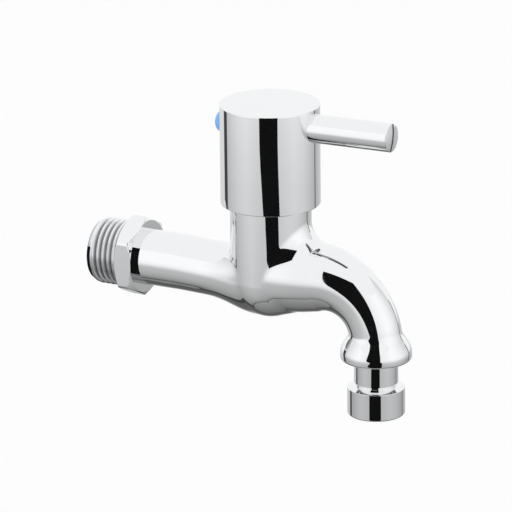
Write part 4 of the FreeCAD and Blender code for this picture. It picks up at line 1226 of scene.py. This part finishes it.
# The small dark card at the wall, which the inlet's front edge reflects
INLET_CARD_X = -0.02
INLET_CARD_SIDES = (-0.012, 0.014)
INLET_CARD_HEIGHTS = (-0.02, 0.004)
INLET_CARD_LIGHT = 0.01

# The card just above the floor is lighter before the tap than behind it
GROUND_HEIGHT = -1.44
GROUND_FRONT = 0.35
GROUND_REAR = 0.12


def lit_by_attribute(name):
    """A light whose strength over the card is the card's own attribute."""
    material, tree, output, place = new_material(name)
    light = add_node(tree, "ShaderNodeAttribute", {"attribute_name": "light"}).outputs["Fac"]
    glow = add_node(tree, "ShaderNodeEmission", {"Color": (1, 1, 1, 1)}, {"Strength": light})
    tree.links.new(glow.outputs["Emission"], output.inputs["Surface"])
    return material


def add_to_stage(name, points, material, lights=None):
    """Puts a grid of points on the stage. With lights, it shows only in reflections."""
    rows, columns = points.shape[:2]
    i, j = np.meshgrid(np.arange(rows - 1), np.arange(columns - 1), indexing="ij")
    here = (i * columns + j).ravel()
    quads = np.stack([here, here + 1, here + columns + 1, here + columns], axis=-1)
    mesh = bpy.data.meshes.new(name)
    mesh.from_pydata(points.reshape(-1, 3).tolist(), [], quads.tolist())
    mesh.materials.append(material)
    piece = bpy.data.objects.new(name, mesh)
    bpy.context.scene.collection.objects.link(piece)
    if lights is not None:
        layer = mesh.attributes.new("light", "FLOAT", "POINT")
        layer.data.foreach_set("value", lights.astype(np.float32).ravel())
        piece.visible_camera = piece.visible_diffuse = piece.visible_shadow = False


def card(name, material, radius, edges, light):
    """A curved card about the valve's axis, seen in reflections only.

    Edges gives the card's left and right turn at each of its heights. A point's height follows one
    parameter, and its turn goes from the left edge to the right edge at that height with the other.
    The light at a point is a function of its turn and height.
    """
    heights, left, right = np.transpose(edges)
    rows = np.linspace(heights[0], heights[-1], CARD_ROWS)
    share, height = np.meshgrid(np.linspace(0, 1, CARD_COLUMNS), rows)
    turn = (1 - share) * np.interp(height, heights, left) + share * np.interp(height, heights, right)
    angle = np.radians(CAMERA_TURN + turn)
    points = np.stack([VALVE_X * MM + radius * np.sin(angle), -radius * np.cos(angle), height], axis=-1)
    add_to_stage(name, points, material, np.broadcast_to(light(turn, height), turn.shape))


def upright_edges(foot, top, left, right):
    """The edges of a card whose sides stand upright."""
    return [(foot, left, right), (top, left, right)]


def square(half, height):
    """The corners of a level square about the valve's axis, in metres."""
    x, y = np.meshgrid([-half, half], [-half, half])
    return np.stack([x + VALVE_X * MM, y, 0 * x + height], axis=-1)


class TAP_OT_stage(bpy.types.Operator):
    """Makes the floor, the white room, the light cards and the camera"""

    bl_idname = "tap.stage"
    bl_label = "Stage"

    def execute(self, context):
        scene = context.scene
        scene.view_settings.view_transform = "Standard"
        self.add_camera(scene)
        self.add_room(scene)
        self.add_cards()
        return {"FINISHED"}

    def add_room(self, scene):
        """A white world and a matt white floor."""
        world = bpy.data.worlds.new("white_room")
        scene.world = world
        world.use_nodes = True
        background = world.node_tree.nodes["Background"]
        background.inputs["Color"].default_value = (1, 1, 1, 1)
        background.inputs["Strength"].default_value = 1.0
        material, tree, output, place = new_material("matt_white_floor")
        paint = {"Base Color": (0.98, 0.98, 0.98, 1), "Roughness": 0.9}
        shader = add_node(tree, "ShaderNodeBsdfPrincipled", paint)
        tree.links.new(shader.outputs["BSDF"], output.inputs["Surface"])
        add_to_stage("floor", square(FLOOR_HALF, FLOOR_HEIGHT), material)

    def add_cards(self):
        """The bright panels all round, the dark gaps between and before them, and the ground."""
        glow = lit_by_attribute("card_light")

        def front_light(turn, height):
            strength = np.interp(height, LOW_HEIGHTS + HIGH_HEIGHTS, LOW_LIGHT + HIGH_LIGHT)
            return strength * np.interp(turn, FRONT_TURNS, FRONT_SHARE)

        def rear_light(turn, height):
            return np.interp(height, REAR_HEIGHTS, REAR_LIGHT) * np.interp(turn, REAR_TURNS, REAR_SHARE)

        front = upright_edges(ROOM_FOOT, FRONT_TOP, FRONT_LEFT, FRONT_RIGHT)
        left_gap = upright_edges(ROOM_FOOT, LEFT_GAP_TOP, LEFT_GAP_END, FRONT_LEFT)
        right_gap = upright_edges(ROOM_FOOT, RIGHT_GAP_TOP, FRONT_RIGHT, REAR_LEFT)
        rear = upright_edges(ROOM_FOOT, REAR_TOP, REAR_LEFT, REAR_RIGHT)
        card("front_panel", glow, ROOM_RADIUS, front, front_light)
        card("left_gap", glow, ROOM_RADIUS, left_gap, lambda turn, height: LEFT_GAP_LIGHT)
        card("right_gap", glow, ROOM_RADIUS, right_gap, lambda turn, height: RIGHT_GAP_LIGHT)
        card("rear_panel", glow, ROOM_RADIUS, rear, rear_light)
        card("dark_gap", glow, DARK_GAP_RADIUS, DARK_GAP_EDGES, lambda turn, height: DARK_GAP_LIGHT)

        y, z = np.meshgrid(INLET_CARD_SIDES, INLET_CARD_HEIGHTS)
        at_wall = np.stack([np.full_like(y, INLET_CARD_X), y, z], axis=-1)
        add_to_stage("inlet_card", at_wall, glow, np.full_like(y, INLET_CARD_LIGHT))
        ground = square(ROOM_RADIUS, GROUND_HEIGHT)
        add_to_stage("ground_card", ground, glow, np.where(ground[..., 1] > 0, GROUND_REAR, GROUND_FRONT))

    def add_camera(self, scene):
        """The camera that sees the tap as the photo does, with a long lens."""
        turn, lift, roll = (math.radians(a) for a in (CAMERA_TURN, CAMERA_LIFT, CAMERA_ROLL))
        back = Vector((math.sin(turn) * math.cos(lift), -math.cos(turn) * math.cos(lift), math.sin(lift)))
        level = Vector((math.cos(turn), math.sin(turn), 0))
        upright = back.cross(level)
        right = level * math.cos(roll) - upright * math.sin(roll)
        up = level * math.sin(roll) + upright * math.cos(roll)
        place = Vector((VALVE_X, 0, 0)) - right * CAMERA_LEFT + up * CAMERA_UP + back * CAMERA_DISTANCE
        camera = bpy.data.objects.new("camera", bpy.data.cameras.new("camera"))
        camera.data.lens = CAMERA_LENS
        camera.data.sensor_width = CAMERA_SENSOR
        camera.data.clip_start = 0.1
        camera.data.clip_end = 20
        turned_view = Matrix((right, up, back)).transposed().to_4x4()
        camera.matrix_world = Matrix.Translation(place * MM) @ turned_view
        scene.collection.objects.link(camera)
        scene.camera = camera


class TAP_PT_panel(bpy.types.Panel):
    """Lists the steps that make the tap"""

    bl_label = "Tap"
    bl_idname = "TAP_PT_panel"
    bl_space_type = "VIEW_3D"
    bl_region_type = "UI"
    bl_category = "Tap"

    def draw(self, context):
        for operator in OPERATORS:
            self.layout.operator(operator.bl_idname)
        for name in GROUPS:
            box = self.layout.box()
            for key in GROUPS[name].__annotations__:
                box.prop(getattr(context.scene, name), key)


OPERATORS = (
    TAP_OT_finishes,
    TAP_OT_casting,
    TAP_OT_handle,
    TAP_OT_lever,
    TAP_OT_button,
    TAP_OT_nozzle,
    TAP_OT_stage,
)
CLASSES = (*GROUPS.values(), *OPERATORS, TAP_PT_panel)


def register():
    """Registers the classes and gives the scene its settings."""
    for cls in CLASSES:
        bpy.utils.register_class(cls)
    for name, group in GROUPS.items():
        setattr(bpy.types.Scene, name, bpy.props.PointerProperty(type=group))


def unregister():
    """Takes the settings and the classes away again."""
    for name in GROUPS:
        delattr(bpy.types.Scene, name)
    for cls in reversed(CLASSES):
        bpy.utils.unregister_class(cls)


def main():
    """Makes every piece and the stage."""
    register()
    bpy.ops.tap.finishes()
    bpy.ops.tap.casting()
    bpy.ops.tap.handle()
    bpy.ops.tap.lever()
    bpy.ops.tap.button()
    bpy.ops.tap.nozzle()
    bpy.ops.tap.stage()


if __name__ == "__main__":
    main()
